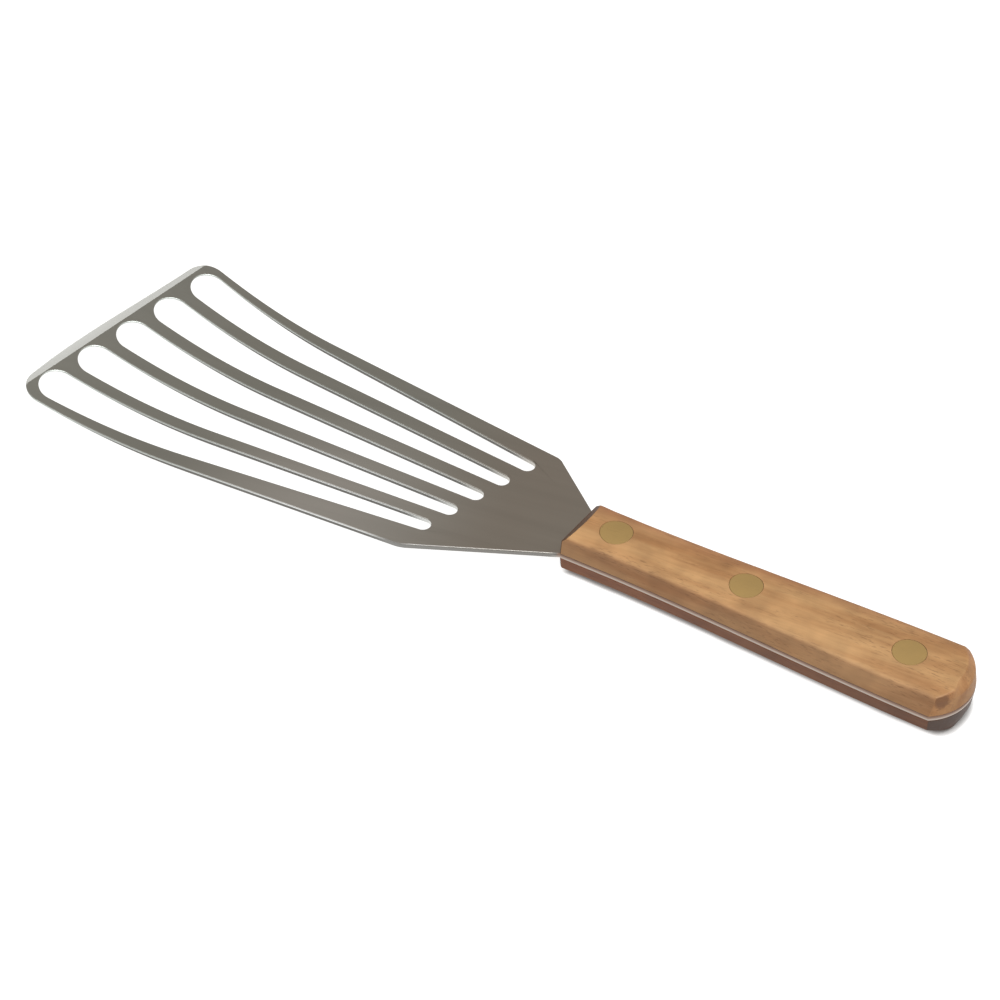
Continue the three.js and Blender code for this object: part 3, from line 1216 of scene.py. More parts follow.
    @cached_property
    def _tip_shares(self) -> Array:
        """Where the columns of the tips' line meet the bevel.

        The slots' sides run on straight to the bevel line. A slot's end fans out between its own two, by
        the sine of the angle from its heading, and the bars' columns lie evenly between the slots'.

        Returns:
            Shares of the bevel line.
        """
        square = self.sizes.square
        beside = np.array([-square[1], square[0]])
        ends = np.array([0.0, 1.0])
        lane = shares(self.mesh.bar_columns)
        swing = mix(-1.0, 1.0, shares(self.mesh.slot_columns))
        corners = np.stack([self._right.web[-1], self._left.web[-1]])
        last, limit = corners @ beside
        inside = last + self.mesh.corner_lane, limit - self.mesh.corner_lane
        runs = []
        for slot in self.slots:
            tip = slot.tip_end(ends)
            along = tip - slot.root_end(ends)
            past = (corners[0] @ square - tip @ square) / (along @ square)
            right, left = np.clip((tip + along * past[:, None]) @ beside, *inside)
            fan = np.maximum.accumulate(np.sin(slot.touch * swing))
            runs += [mix(last, right, lane), mix(right, left, (fan - fan[0]) / (fan[-1] - fan[0]))]
            last = left
        place = joined(*runs, mix(last, limit, lane))
        return (place - place[0]) / (place[-1] - place[0])

    @cached_property
    def _tip_line(self) -> Array:
        """The tip's edge from right to left: a straight line and a bow.

        At share s of the way the bow is s squared * (1 - s), scaled to be full at two thirds.
        """
        tip_shares = self._tip_shares[:, None]
        bow = BOW_SCALE * tip_shares ** 2 * (1.0 - tip_shares) * self.sizes.square
        line = mix(self._right.bevel[-1], self._left.bevel[-1], tip_shares)
        return line + self.sizes.tip_bow * bow

    def _filled(self, first: Array, last: Array, right: Array, left: Array, rows: Array) -> Array:
        """A patch between two cross lines that also follows two bowed sides.

        It is ruled from first to last, and each side's bow, its distance from its own chord, is added in
        full at that side and dies out evenly over the outer bar's columns and half the outer slot's.

        Args:
            first: The line that the patch starts on.
            last: The line that it ends on.
            right: Its right side, one point a row.
            left: Its left side.
            rows: The rows' shares.

        Returns:
            The patch in plan.
        """
        columns = np.arange(len(first))
        faded = self.mesh.bar_columns + self.mesh.slot_columns / 2.0
        fade = np.clip(1.0 - columns / faded, 0.0, 1.0)[None, :, None]
        right_bow = right - mix(right[0], right[-1], rows[:, None])
        left_bow = left - mix(left[0], left[-1], rows[:, None])
        return ruled(first, last, rows) + right_bow[:, None] * fade + left_bow[:, None] * fade[:, ::-1]

    def _faces(self) -> list[tuple[Array, float | Array]]:
        """The blade's face in plan as patches that face up: tang, neck, bars, web and bevel.

        Returns:
            Patches with their ground-bevel mask.
        """
        sizes = self.sizes
        handle = sizes.handle
        mesh = self.mesh
        tang = handle.face(self._tang_loop, handle.rivets.shank_hole_radius, self._neck_shares)
        neck_line = mix(self._right.neck[0], self._left.neck[0], self._neck_shares[:, None])
        neck = ruled(neck_line, self._cross_line(0), shares(mesh.neck_rows))
        lane = shares(mesh.bar_columns)
        bars = [mix(right[:, None], left[:, None], lane[None, :, None]) for right, left in self._bars]
        bevel_line = mix(self._right.web[-1], self._left.web[-1], self._tip_shares[:, None])
        web_sides = self._right.web, self._left.web
        web = self._filled(self._cross_line(-1), bevel_line, *web_sides, shares(mesh.web_rows))
        bevel_sides = self._right.bevel, self._left.bevel
        bevel = self._filled(bevel_line, self._tip_line, *bevel_sides, self._bevel_shares)
        plain = [(patch, 0.0) for patch in (tang, neck, *bars, web)]
        return plain + [(bevel, np.sign(self._bevel_shares)[:, None])]

    @cached_property
    def _tang_loop(self) -> Array:
        """The tang's outline between the scales, drawn in by the edge radius."""
        handle = self.sizes.handle
        return handle.upright_loop(handle.tang, self.sizes.edge_radius, 0.0, self._neck_shares)

    def _edge_loops(self) -> list[Array]:
        """Every edge of the face, with the metal on its left: the outline, then the slots.

        Returns:
            Loops in plan, each ending where it starts.
        """
        tang = self._tang_loop[:len(self._tang_loop) - len(self._neck_shares) + 2]
        outline = joined(
            self._right.neck,
            self._right.edge,
            self._right.web,
            self._right.bevel,
            self._tip_line,
            self._left.bevel[::-1],
            self._left.web[::-1],
            self._left.edge[::-1],
            self._left.neck[::-1],
            tang,
        )
        turn = shares(self.mesh.slot_columns)
        loops = [outline]
        for index, slot in enumerate(self.slots):
            left_of_slot = self._bars[index + 1][0]
            right_of_slot = self._bars[index][1]
            loops.append(joined(
                left_of_slot, slot.tip_end(turn)[::-1], right_of_slot[::-1], slot.root_end(turn),
            ))
        return loops

    def _edge(self, loop: Array, neck_torn_shade: float) -> tuple[Array, dict[Mask, Array]]:
        """A rounded edge: two quarter rounds and the wall between them, carried along a loop.

        At angle a a round's row lies out from the loop by the edge's radius * sin a. It lies below the
        upper face, or above the lower one, by that round's own radius * (1 - cos a). One more row on the
        wall keeps the upper round's shading off it. The loop's outward side is its tangent turned right.

        Args:
            loop: Points in plan with the metal on their left, ending where they start.
            neck_torn_shade: How much of the fracture mask, with its painted shade, the edge carries short
                of the slots' narrow ends.

        Returns:
            The edge's grid from the upper face to the lower one, and its masks.
        """
        sizes = self.sizes
        apart = np.linalg.norm(np.diff(loop, axis=0), axis=1) > WELD_DISTANCE
        points = loop[:-1][apart]
        tangent = np.roll(points, -1, axis=0) - np.roll(points, 1, axis=0)
        outward = stacked(tangent[:, 1], -tangent[:, 0])
        outward /= np.linalg.norm(outward, axis=1, keepdims=True)
        angles = RIGHT_ANGLE * shares(self.mesh.rounding_steps)
        fall = 1.0 - np.cos(angles)
        out = np.concatenate([np.sin(angles), [1.0], np.sin(angles)[::-1]])[:, None]
        sunk = np.concatenate([fall, [self.mesh.wall_row], -fall[::-1]])[:, None]
        plan = closed(points)[None] + sizes.edge_radius * out[..., None] * closed(outward)[None]
        reach = sizes.reach(plan)
        upper, lower = sizes.faces(reach)
        above = np.arange(len(out))[:, None] <= self.mesh.rounding_steps + 1
        upper_radius = mix(sizes.lower_edge_radius, sizes.edge_radius, sizes.roundness(reach))
        radius = np.where(above, upper_radius, sizes.lower_edge_radius)
        radius = np.minimum(radius, sizes.edge_share * (upper - lower))
        height = np.where(above, upper, lower) - radius * sunk
        return sizes.raised(plan, height), self._edge_masks(plan, out, neck_torn_shade)

    def _edge_masks(self, plan: Array, out: Array, neck_torn_shade: float) -> dict[Mask, Array]:
        """How shaded and how ground an edge is.

        The first mask is a rough fracture zone whose colour carries painted shade. Beside the slots it
        lies on the wall and the lower round only, less towards the sharp tip. Short of the slots it
        covers the whole edge, and between the scales it stands for the wood's painted shadow on the tang,
        weaker on the lower round than on the rest.

        Args:
            plan: The edge's grid in plan, from the upper face to the lower one.
            out: How far each row stands out, from 0 to 1.
            neck_torn_shade: How much of the fracture mask, with its painted shade, the edge carries short
                of the slots' narrow ends.

        Returns:
            Both masks.
        """
        sizes = self.sizes
        reach = sizes.reach(plan)
        rows = np.arange(len(out))[:, None]
        past_root = plan[..., 0] - sizes.root_distance - plan[..., 1] * math.tan(sizes.root_lean)
        # Painted shade on the wall and the lower round, fading towards the sharp tip.
        wall_shade = np.where(rows > self.mesh.rounding_steps, out, 0.0) * sizes.roundness(reach)
        torn_and_shaded = mix(neck_torn_shade * out, wall_shade, smooth_share(past_root, 0.0, sizes.torn_shade_change))
        # Between the scales: the wood's painted shadow on the tang, weaker on its lower round.
        tang = np.where(rows > self.mesh.rounding_steps + 1, sizes.tang_lower_shade, 1.0)
        ground = smooth_share(reach, sizes.bevel_start - sizes.ground_change, sizes.bevel_start)
        before_handle = plan[..., 0] > 0.0
        return {Mask.TORN_AND_SHADED: np.where(before_handle, torn_and_shaded * (1.0 - ground), tang), Mask.GROUND: ground}

    def build(self, placement: Placement) -> bpy.types.Object:
        """Builds the blade: both faces, every edge and the tang's rivet holes.

        Args:
            placement: Carries the blade into the frame.

        Returns:
            The blade's object.
        """
        sizes = self.sizes
        rivets = sizes.handle.rivets
        skin = Skin()
        for patch, ground in self._faces():
            upper, lower = sizes.faces(sizes.reach(patch))
            skin.add(sizes.raised(patch, upper), {Mask.GROUND: ground})
            skin.add(sizes.raised(patch, lower)[::-1])
        outline, *slots = self._edge_loops()
        skin.add(*self._edge(outline, sizes.outline_torn_shade))
        for slot in slots:
            skin.add(*self._edge(slot, sizes.slot_torn_shade))
        half = sizes.thickness / 2.0
        hole = np.array([(rivets.shank_hole_radius, -half), (rivets.shank_hole_radius, half)])
        for distance in rivets.distances.values():
            skin.add(rivets.turned(hole, distance))
        return skin.to_object("steel_blade", placement)

    def dress(self, piece: bpy.types.Object, material: bpy.types.Material) -> None:
        """Gives the blade its steel and its place in the frame."""
        dress(piece, material, "steel", "blade")


def opaque(colour: Colour) -> tuple[float, float, float, float]:
    """A linear colour with full alpha."""
    return (*colour, 1.0)


class NodeBench:
    """Adds nodes to one shader tree and links them."""

    def __init__(self, tree: bpy.types.NodeTree) -> None:
        """Works on this tree."""
        self.tree = tree

    @classmethod
    def emptied(cls, owner: bpy.types.Material | bpy.types.World) -> NodeBench:
        """A bench on the emptied tree of a material or a world."""
        owner.use_nodes = True
        owner.node_tree.nodes.clear()
        return cls(owner.node_tree)

    def add(
        self, kind: str, inputs: dict[str | int, object] | None = None, **settings: object,
    ) -> bpy.types.Node:
        """Adds a node.

        Args:
            kind: The node's type name.
            inputs: Values or output sockets for its inputs, by name or place.
            settings: Values for its other properties.

        Returns:
            The new node.
        """
        node = self.tree.nodes.new(kind)
        for name, value in settings.items():
            setattr(node, name, value)
        for name, value in (inputs or {}).items():
            self.feed(node.inputs[name], value)
        return node

    def feed(self, socket: Socket, value: object) -> None:
        """Links an output to a socket, or sets the socket's own value."""
        if isinstance(value, Socket):
            self.tree.links.new(value, socket)
        else:
            socket.default_value = value

    def math(self, operation: str, first: object, second: object = 0.0) -> Socket:
        """The result of a Math node."""
        return self.add("ShaderNodeMath", {0: first, 1: second}, operation=operation).outputs[0]

    def between(self, value: Socket, start: float, end: float) -> Socket:
        """An eased step from 0 at start to 1 at end."""
        limits = {"Value": value, "From Min": start, "From Max": end}
        return self.add("ShaderNodeMapRange", limits, interpolation_type="SMOOTHSTEP").outputs["Result"]

    def spread(self, value: Socket, low: float, high: float) -> Socket:
        """A value from 0 to 1 spread evenly over low to high."""
        limits = {"Value": value, "To Min": low, "To Max": high}
        return self.add("ShaderNodeMapRange", limits).outputs["Result"]

    def blend(
        self, share: object, first: Colour | Socket, second: Colour | Socket, kind: str = "MIX",
    ) -> Socket:
        """A mix of two colours."""
        first, second = (opaque(tone) if isinstance(tone, tuple) else tone for tone in (first, second))
        inputs = {0: share, 6: first, 7: second}
        return self.add("ShaderNodeMix", inputs, data_type="RGBA", blend_type=kind).outputs[2]

    def tinted(self, colour: Socket, tint: Colour | Socket) -> Socket:
        """A colour multiplied by a tint or a shade."""
        return self.blend(1.0, colour, tint, "MULTIPLY")

    def part(self, vector: Socket, axis: str) -> Socket:
        """One coordinate of a vector."""
        return self.add("ShaderNodeSeparateXYZ", {0: vector}).outputs[axis]

    def place(self) -> Socket:
        """Object coordinates."""
        return self.add("ShaderNodeTexCoord").outputs["Object"]

    def turned_place(self, angle: float) -> Socket:
        """Object coordinates turned about the upright axis, so that a pattern runs askew."""
        turned = {"Vector": self.place(), "Rotation": (0.0, 0.0, angle)}
        return self.add("ShaderNodeMapping", turned).outputs[0]

    def distance(self, place: Socket, point: Place) -> Socket:
        """How far a place lies from a point."""
        ends = {0: place, 1: point}
        return self.add("ShaderNodeVectorMath", ends, operation="DISTANCE").outputs["Value"]

    def attribute(self, mask: Mask) -> Socket:
        """A mask that a skin carries."""
        return self.add("ShaderNodeAttribute", attribute_name=mask.value).outputs["Fac"]

    def value_of(self, tree: bpy.types.NodeTree, place: Socket, **numbers: float) -> Socket:
        """The value of a shared effect at a place, with the effect's own numbers."""
        return self.add("ShaderNodeGroup", {"Place": place, **numbers}, node_tree=tree).outputs["Value"]


@dataclass(frozen=True)
class Streaks:
    """Streaks along x: their length and width in metres, their detail and a seed."""

    length: float
    width: float
    detail: float
    seed: float


@dataclass(frozen=True)
class Mottle:
    """Soft patches: their size in metres and a seed."""

    size: float
    seed: float


class SharedEffects:
    """Node groups that several finishes use."""

    streak_roughness = 0.6
    mottle_roughness = 0.5
    mottle_detail = 2.0

    def __init__(self) -> None:
        """Builds each group once."""
        self._streaks = self._streak_group()
        self._mottle = self._mottle_group()

    def streaked(self, bench: NodeBench, place: Socket, streaks: Streaks, shift: float = 0.0) -> Socket:
        """Streaks at a place, with their seed shifted.

        Args:
            bench: The bench of the material that they are in.
            place: Where they are read.
            streaks: Their sizes.
            shift: What is added to their seed.

        Returns:
            Their value, which varies about one half.
        """
        return bench.value_of(
            self._streaks,
            place,
            Length=streaks.length,
            Width=streaks.width,
            Detail=streaks.detail,
            Seed=streaks.seed + shift,
        )

    def mottled(self, bench: NodeBench, place: Socket, mottle: Mottle, shift: float = 0.0) -> Socket:
        """Soft patches at a place, with their seed shifted."""
        return bench.value_of(self._mottle, place, Size=mottle.size, Seed=mottle.seed + shift)

    @staticmethod
    def _started(
        name: str, numbers: dict[str, float],
    ) -> tuple[NodeBench, bpy.types.Node, bpy.types.Node]:
        """Starts a group with a place and some numbers as inputs and one value as output.

        Args:
            name: The group's name.
            numbers: The number inputs and their usual values.

        Returns:
            The bench, the group's input node and its output node.
        """
        tree = bpy.data.node_groups.new(name, "ShaderNodeTree")
        tree.interface.new_socket("Place", in_out="INPUT", socket_type="NodeSocketVector")
        for number, usual in numbers.items():
            socket = tree.interface.new_socket(number, in_out="INPUT", socket_type="NodeSocketFloat")
            socket.default_value = usual
        tree.interface.new_socket("Value", in_out="OUTPUT", socket_type="NodeSocketFloat")
        bench = NodeBench(tree)
        return bench, bench.add("NodeGroupInput"), bench.add("NodeGroupOutput")

    @staticmethod
    def _ended(bench: NodeBench, result: bpy.types.Node, inputs: dict[str, object]) -> bpy.types.NodeTree:
        """Ends a group with a seeded noise as its value."""
        noise = bench.add("ShaderNodeTexNoise", inputs, noise_dimensions="4D")
        bench.feed(result.inputs["Value"], noise.outputs["Fac"])
        return bench.tree

    def _streak_group(self) -> bpy.types.NodeTree:
        """Noise drawn out along x: grain in wood, grinding lines in metal.

        Returns:
            The group.
        """
        bench, start, result = self._started(
            "Drawn Out Streaks", {"Length": 0.02, "Width": 0.001, "Detail": 3.0, "Seed": 0.0},
        )
        given = start.outputs
        along = bench.math("DIVIDE", 1.0, given["Length"])
        across = bench.math("DIVIDE", 1.0, given["Width"])
        density = bench.add("ShaderNodeCombineXYZ", {0: along, 1: across, 2: across}).outputs[0]
        factors = {0: given["Place"], 1: density}
        stretched = bench.add("ShaderNodeVectorMath", factors, operation="MULTIPLY")
        return self._ended(bench, result, {
            "Vector": stretched.outputs[0],
            "W": given["Seed"],
            "Scale": 1.0,
            "Detail": given["Detail"],
            "Roughness": self.streak_roughness,
        })

    def _mottle_group(self) -> bpy.types.NodeTree:
        """Soft patches of one size: handling, uneven finish.

        Returns:
            The group.
        """
        bench, start, result = self._started("Soft Mottle", {"Size": 0.02, "Seed": 0.0})
        given = start.outputs
        return self._ended(bench, result, {
            "Vector": given["Place"],
            "W": given["Seed"],
            "Scale": bench.math("DIVIDE", 1.0, given["Size"]),
            "Detail": self.mottle_detail,
            "Roughness": self.mottle_roughness,
        })


@dataclass(frozen=True)
class Finish:
    """What every finish shares: its name and how its material starts."""

    name: str

    def _started(self) -> tuple[bpy.types.Material, NodeBench, bpy.types.Node]:
        """An empty material with a shader.

        Returns:
            The material, its bench and its Principled shader.
        """
        material = bpy.data.materials.new(self.name)
        bench = NodeBench.emptied(material)
        shader = bench.add("ShaderNodeBsdfPrincipled")
        bench.add("ShaderNodeOutputMaterial", {"Surface": shader.outputs[0]})
        return material, bench, shader

    @staticmethod
    def _bump(bench: NodeBench, shader: bpy.types.Node, height: Socket, distance: float) -> None:
        """Lets a height of that many metres tilt the shader's normal."""
        bump = bench.add("ShaderNodeBump", {"Height": height, "Distance": distance, "Strength": 1.0})
        bench.feed(shader.inputs["Normal"], bump.outputs[0])


@dataclass(frozen=True)
class SatinSteel(Finish):
    """Ground spring steel with a paler bevel, a painted sheen and dull shear-cut edges darkened with
    painted shade.
    """

    tone: Colour = (0.55, 0.525, 0.485)
    cool_tone: Colour = (0.545, 0.58, 0.56)
    cool_change: Range = (0.0, 0.0)
    cool_patches: Range = (-0.25, 0.25)
    # A painted sheen: the tone turns paler about one place on the bars.
    painted_sheen_tone: Colour = (0.80, 0.82, 0.82)
    painted_sheen_place: Place = (0.0, 0.0, 0.0)
    painted_sheen_reach: float = 0.055
    bevel_tone: Colour = (0.70, 0.73, 0.72)
    bevel_metal: float = 0.15
    # Painted shade on the rough fracture edges, and in the handle the wood's painted shadow on the tang.
    torn_shade_tone: Colour = (0.17, 0.165, 0.155)
    tang_shadow_tone: Colour = (0.27, 0.185, 0.145)
    tang_shadow_change: Range = (0.0, 0.0)
    roughness: Range = (0.27, 0.37)
    bevel_roughness: float = 0.6
    torn_roughness: float = 0.55
    lines: Streaks = Streaks(0.03, 0.00035, 4.0, 1.0)
    line_angle: float = math.radians(-8.0)
    line_height: float = 0.000004
    bands: Streaks = Streaks(0.09, 0.004, 2.0, 4.0)
    band_shades: Range = (0.9, 1.1)
    patches: Mottle = Mottle(0.035, 2.0)

    def _toned(self, bench: NodeBench, effects: SharedEffects, place: Socket) -> Socket:
        """The faces' colour: warmer at the neck, cooler ahead, with a painted sheen about one place and
        soft bands.

        Args:
            bench: The material's bench.
            effects: The shared node groups.
            place: Object coordinates turned along the grinding lines.

        Returns:
            The colour.
        """
        bands = effects.streaked(bench, place, self.bands)
        patches = effects.mottled(bench, place, self.patches)
        straight_place = bench.place()
        ahead = bench.between(bench.part(straight_place, "X"), *self.cool_change)
        cooler = bench.math("ADD", ahead, bench.spread(patches, *self.cool_patches))
        tone = bench.blend(cooler, self.tone, self.cool_tone)
        # Painted sheen: paler towards one place.
        from_sheen = bench.distance(straight_place, self.painted_sheen_place)
        sheen_share = bench.between(from_sheen, self.painted_sheen_reach, 0.0)
        sheened = bench.blend(sheen_share, tone, self.painted_sheen_tone)
        return bench.tinted(sheened, bench.spread(bands, *self.band_shades))

    def material(self, effects: SharedEffects) -> bpy.types.Material:
        """Grinding lines on the faces, a coarser bevel, and rough fracture edges darkened with painted
        shade, which in the handle is the wood's painted shadow on the tang.

        Args:
            effects: The shared node groups.

        Returns:
            The material.
        """
        material, bench, shader = self._started()
        place = bench.turned_place(self.line_angle)
        lines = effects.streaked(bench, place, self.lines)
        torn_and_shaded = bench.attribute(Mask.TORN_AND_SHADED)
        ground = bench.attribute(Mask.GROUND)
        with_bevel = bench.blend(ground, self._toned(bench, effects, place), self.bevel_tone)
        in_handle = bench.between(bench.part(bench.place(), "X"), *self.tang_shadow_change)
        # The fracture edges take painted shade, which turns to the wood's painted shadow in the handle.
        edge_shade = bench.blend(in_handle, self.torn_shade_tone, self.tang_shadow_tone)
        bench.feed(shader.inputs["Base Color"], bench.blend(torn_and_shaded, with_bevel, edge_shade))
        satin = bench.spread(lines, *self.roughness)
        coarse = bench.math("MULTIPLY", ground, self.bevel_roughness)
        dull = bench.math("MULTIPLY", torn_and_shaded, self.torn_roughness)
        rough = bench.math("MAXIMUM", satin, bench.math("MAXIMUM", coarse, dull))
        bench.feed(shader.inputs["Roughness"], rough)
        self._bump(bench, shader, lines, self.line_height)
        bench.feed(shader.inputs["Metallic"], bench.spread(ground, 1.0, self.bevel_metal))
        return material


@dataclass(frozen=True)
class OiledWood(Finish):
    """Close-grained reddish wood, oiled, with flecks along the grain, painted shade on its sides, butt
    and lower scale, and a front end darkened by stain and painted shade.
    """

    light: Colour = (0.595, 0.352, 0.16)
    deep: Colour = (0.44, 0.224, 0.092)
    figure: Streaks = Streaks(0.04, 0.005, 3.0, 0.0)
    figure_change: Range = (0.3, 0.66)
    # Redder and darker towards the right side: partly the wood's own tint, partly painted shade on the
    # crown's right side.
    red_tint_and_shade: Colour = (0.365, 0.155, 0.074)
    red_tint_and_shade_change: Range = (0.003, -0.0065)
    red_tint_and_shade_share: float = 0.9
    blotches: Mottle = Mottle(0.007, 15.0)
    blotch_shades: Range = (0.65, 1.35)
    fibres: Streaks = Streaks(0.010, 0.0006, 5.0, 3.0)
    fibre_shades: Range = (0.84, 1.16)
    fibre_height: float = 0.00003
    fleck: Colour = (0.15, 0.068, 0.03)
    flecks: Streaks = Streaks(0.0026, 0.0004, 2.0, 7.0)
    fleck_change: Range = (0.52, 0.68)
    fleck_zones: Streaks = Streaks(0.03, 0.006, 2.0, 11.0)
    zone_change: Range = (0.42, 0.6)
    fleck_share: float = 0.42
    grain_angle: float = math.radians(-3.0)
    seed: float = 0.0
    # Painted shade over the whole scale: none on the upper one, dark and reddish on the lower one.
    shade_tint: Colour = (1.0, 1.0, 1.0)
    # Painted shade on the sides that face left.
    side_shade: Colour = (0.8, 0.77, 0.82)
    side_shade_facing: Range = (0.4, 0.9)
    # Painted shade on the butt end.
    butt_shade: Colour = (0.92, 0.85, 0.82)
    butt_shade_facing: Range = (-0.3, -0.6)
    rear_shade: float = 0.96
    shade_change: Range = (0.0, 0.0)
    # The front end's dark colour: end-grain stain with painted shade.
    stained_and_shaded_end: Colour = (0.10, 0.055, 0.036)
    stain_and_shade_share: float = 0.9
    front_shade_facing: Range = (0.3, 0.5)
    knot: Colour = (0.16, 0.072, 0.034)
    knot_place: Place = (0.0, 0.0, 0.0)
    knot_radius: float = 0.0031
    knot_rings: Mottle = Mottle(0.0016, 19.0)
    knot_raggedness: Range = (0.35, 1.9)
    knot_share: float = 0.75
    roughness: Range = (0.45, 0.65)

    def lower(self) -> OiledWood:
        """The lower scale's wood: the same wood with another seed, darker and redder by painted shade,
        most of all at the butt.

        Returns:
            The finish.
        """
        return replace(
            self,
            name="oiled_wood_lower_shaded",
            seed=40.0,
            shade_tint=(0.65, 0.46, 0.385),
            butt_shade=(0.26, 0.29, 0.39),
            rear_shade=0.64,
        )

    def _figured(self, bench: NodeBench, effects: SharedEffects) -> tuple[Socket, Socket]:
        """The wood's colour along the grain, and its fine fibres as a height.

        Broad figure and soft blotches set the body, the right side is redder and darker, partly the
        wood's own tint and partly painted shade, fibres streak it, and short dark flecks gather in zones.

        Args:
            bench: The material's bench.
            effects: The shared node groups.

        Returns:
            The colour and the fibres' value.
        """
        place = bench.turned_place(self.grain_angle)
        patterns = (self.figure, self.fibres, self.flecks, self.fleck_zones)
        figure, fibres, flecks, zones = (
            effects.streaked(bench, place, pattern, self.seed) for pattern in patterns
        )
        blotches = effects.mottled(bench, place, self.blotches, self.seed)
        body = bench.blend(bench.between(figure, *self.figure_change), self.deep, self.light)
        # Partly the wood's red tint, partly painted shade towards the right side.
        rightward = bench.between(bench.part(place, "Y"), *self.red_tint_and_shade_change)
        reddened_and_shaded = bench.blend(bench.math("MULTIPLY", rightward, self.red_tint_and_shade_share), body, self.red_tint_and_shade)
        blotched = bench.tinted(reddened_and_shaded, bench.spread(blotches, *self.blotch_shades))
        fibred = bench.tinted(blotched, bench.spread(fibres, *self.fibre_shades))
        dotted = bench.between(flecks, *self.fleck_change)
        gathered = bench.math("MULTIPLY", dotted, bench.between(zones, *self.zone_change))
        return bench.blend(bench.math("MULTIPLY", gathered, self.fleck_share), fibred, self.fleck), fibres

    def _knotted(self, bench: NodeBench, effects: SharedEffects) -> Socket:
        """Mask of the knot: the distance from its place, made ragged by rings.

        Args:
            bench: The material's bench.
            effects: The shared node groups.

        Returns:
            The mask.
        """
        place = bench.place()
        rings = effects.mottled(bench, place, self.knot_rings, self.seed)
        from_knot = bench.distance(place, self.knot_place)
        ragged = bench.math("MULTIPLY", from_knot, bench.spread(rings, *self.knot_raggedness))
        inside = bench.between(ragged, self.knot_radius, self.knot_radius / 2.0)
        return bench.math("MULTIPLY", inside, self.knot_share)

    def material(self, effects: SharedEffects) -> bpy.types.Material:
        """The figure, painted shade on the left sides, the butt end and towards the butt, a front end
        darkened by stain and painted shade, and a small knot in the open grain of the butt.

        Args:
            effects: The shared node groups.

        Returns:
            The material.
        """
        material, bench, shader = self._started()
        colour, fibres = self._figured(bench, effects)
        facing = bench.add("ShaderNodeNewGeometry").outputs["True Normal"]
        front = bench.between(bench.part(facing, "X"), *self.front_shade_facing)
        butt = bench.between(bench.part(facing, "X"), *self.butt_shade_facing)
        left = bench.between(bench.part(facing, "Y"), *self.side_shade_facing)
        rearward = bench.between(bench.part(bench.place(), "X"), *self.shade_change)
        shaded = bench.tinted(colour, bench.spread(rearward, 1.0, self.rear_shade))
        # Painted shade on the sides that face left.
        side_shaded = bench.blend(left, shaded, bench.tinted(shaded, self.side_shade))
        # Painted shade on the butt end, with the knot in it.
        shaded_butt_colour = bench.tinted(shaded, self.butt_shade)
        knotted = bench.blend(self._knotted(bench, effects), shaded_butt_colour, self.knot)
        ended = bench.blend(butt, side_shaded, knotted)
        # Stain and painted shade on the front end.
        stained_and_shaded = bench.blend(bench.math("MULTIPLY", front, self.stain_and_shade_share), ended, self.stained_and_shaded_end)
        bench.feed(shader.inputs["Base Color"], bench.tinted(stained_and_shaded, self.shade_tint))
        bench.feed(shader.inputs["Roughness"], bench.spread(fibres, *self.roughness))
        self._bump(bench, shader, fibres, self.fibre_height)
        return material


@dataclass(frozen=True)
class SandedBrass(Finish):
    """Brass sanded flush with the wood, dull and olive."""

    tone: Colour = (0.58, 0.395, 0.152)
    dull_tone: Colour = (0.52, 0.36, 0.146)
    roughness: Range = (0.5, 0.65)
    metallic: float = 0.55
    lines: Streaks = Streaks(0.008, 0.0003, 3.0, 21.0)
    line_height: float = 0.000005
    patches: Mottle = Mottle(0.004, 22.0)

    def material(self, effects: SharedEffects) -> bpy.types.Material:
        """Sanding lines along the handle over a dull mottle.

        Args:
            effects: The shared node groups.

        Returns:
            The material.
        """
        material, bench, shader = self._started()
        place = bench.place()
        lines = effects.streaked(bench, place, self.lines)
        patches = effects.mottled(bench, place, self.patches)
        bench.feed(shader.inputs["Base Color"], bench.blend(patches, self.tone, self.dull_tone))
        bench.feed(shader.inputs["Roughness"], bench.spread(lines, *self.roughness))
        self._bump(bench, shader, lines, self.line_height)
        bench.feed(shader.inputs["Metallic"], self.metallic)
        return material


def direction(azimuth: float, elevation: float) -> Vector:
    """Direction at an elevation and an azimuth in degrees, from the turner's right round by its tip."""
    turned = math.radians(azimuth)
    raised = math.radians(elevation)
    level = math.cos(raised)
    return Vector((math.sin(turned) * level, -math.cos(turned) * level, math.sin(raised)))


@dataclass(frozen=True)
class Softbox:
    """A square area lamp at a direction and distance from the turner's middle."""

    name: str
    azimuth: float
    elevation: float
    distance: float
    size: float
    power: float


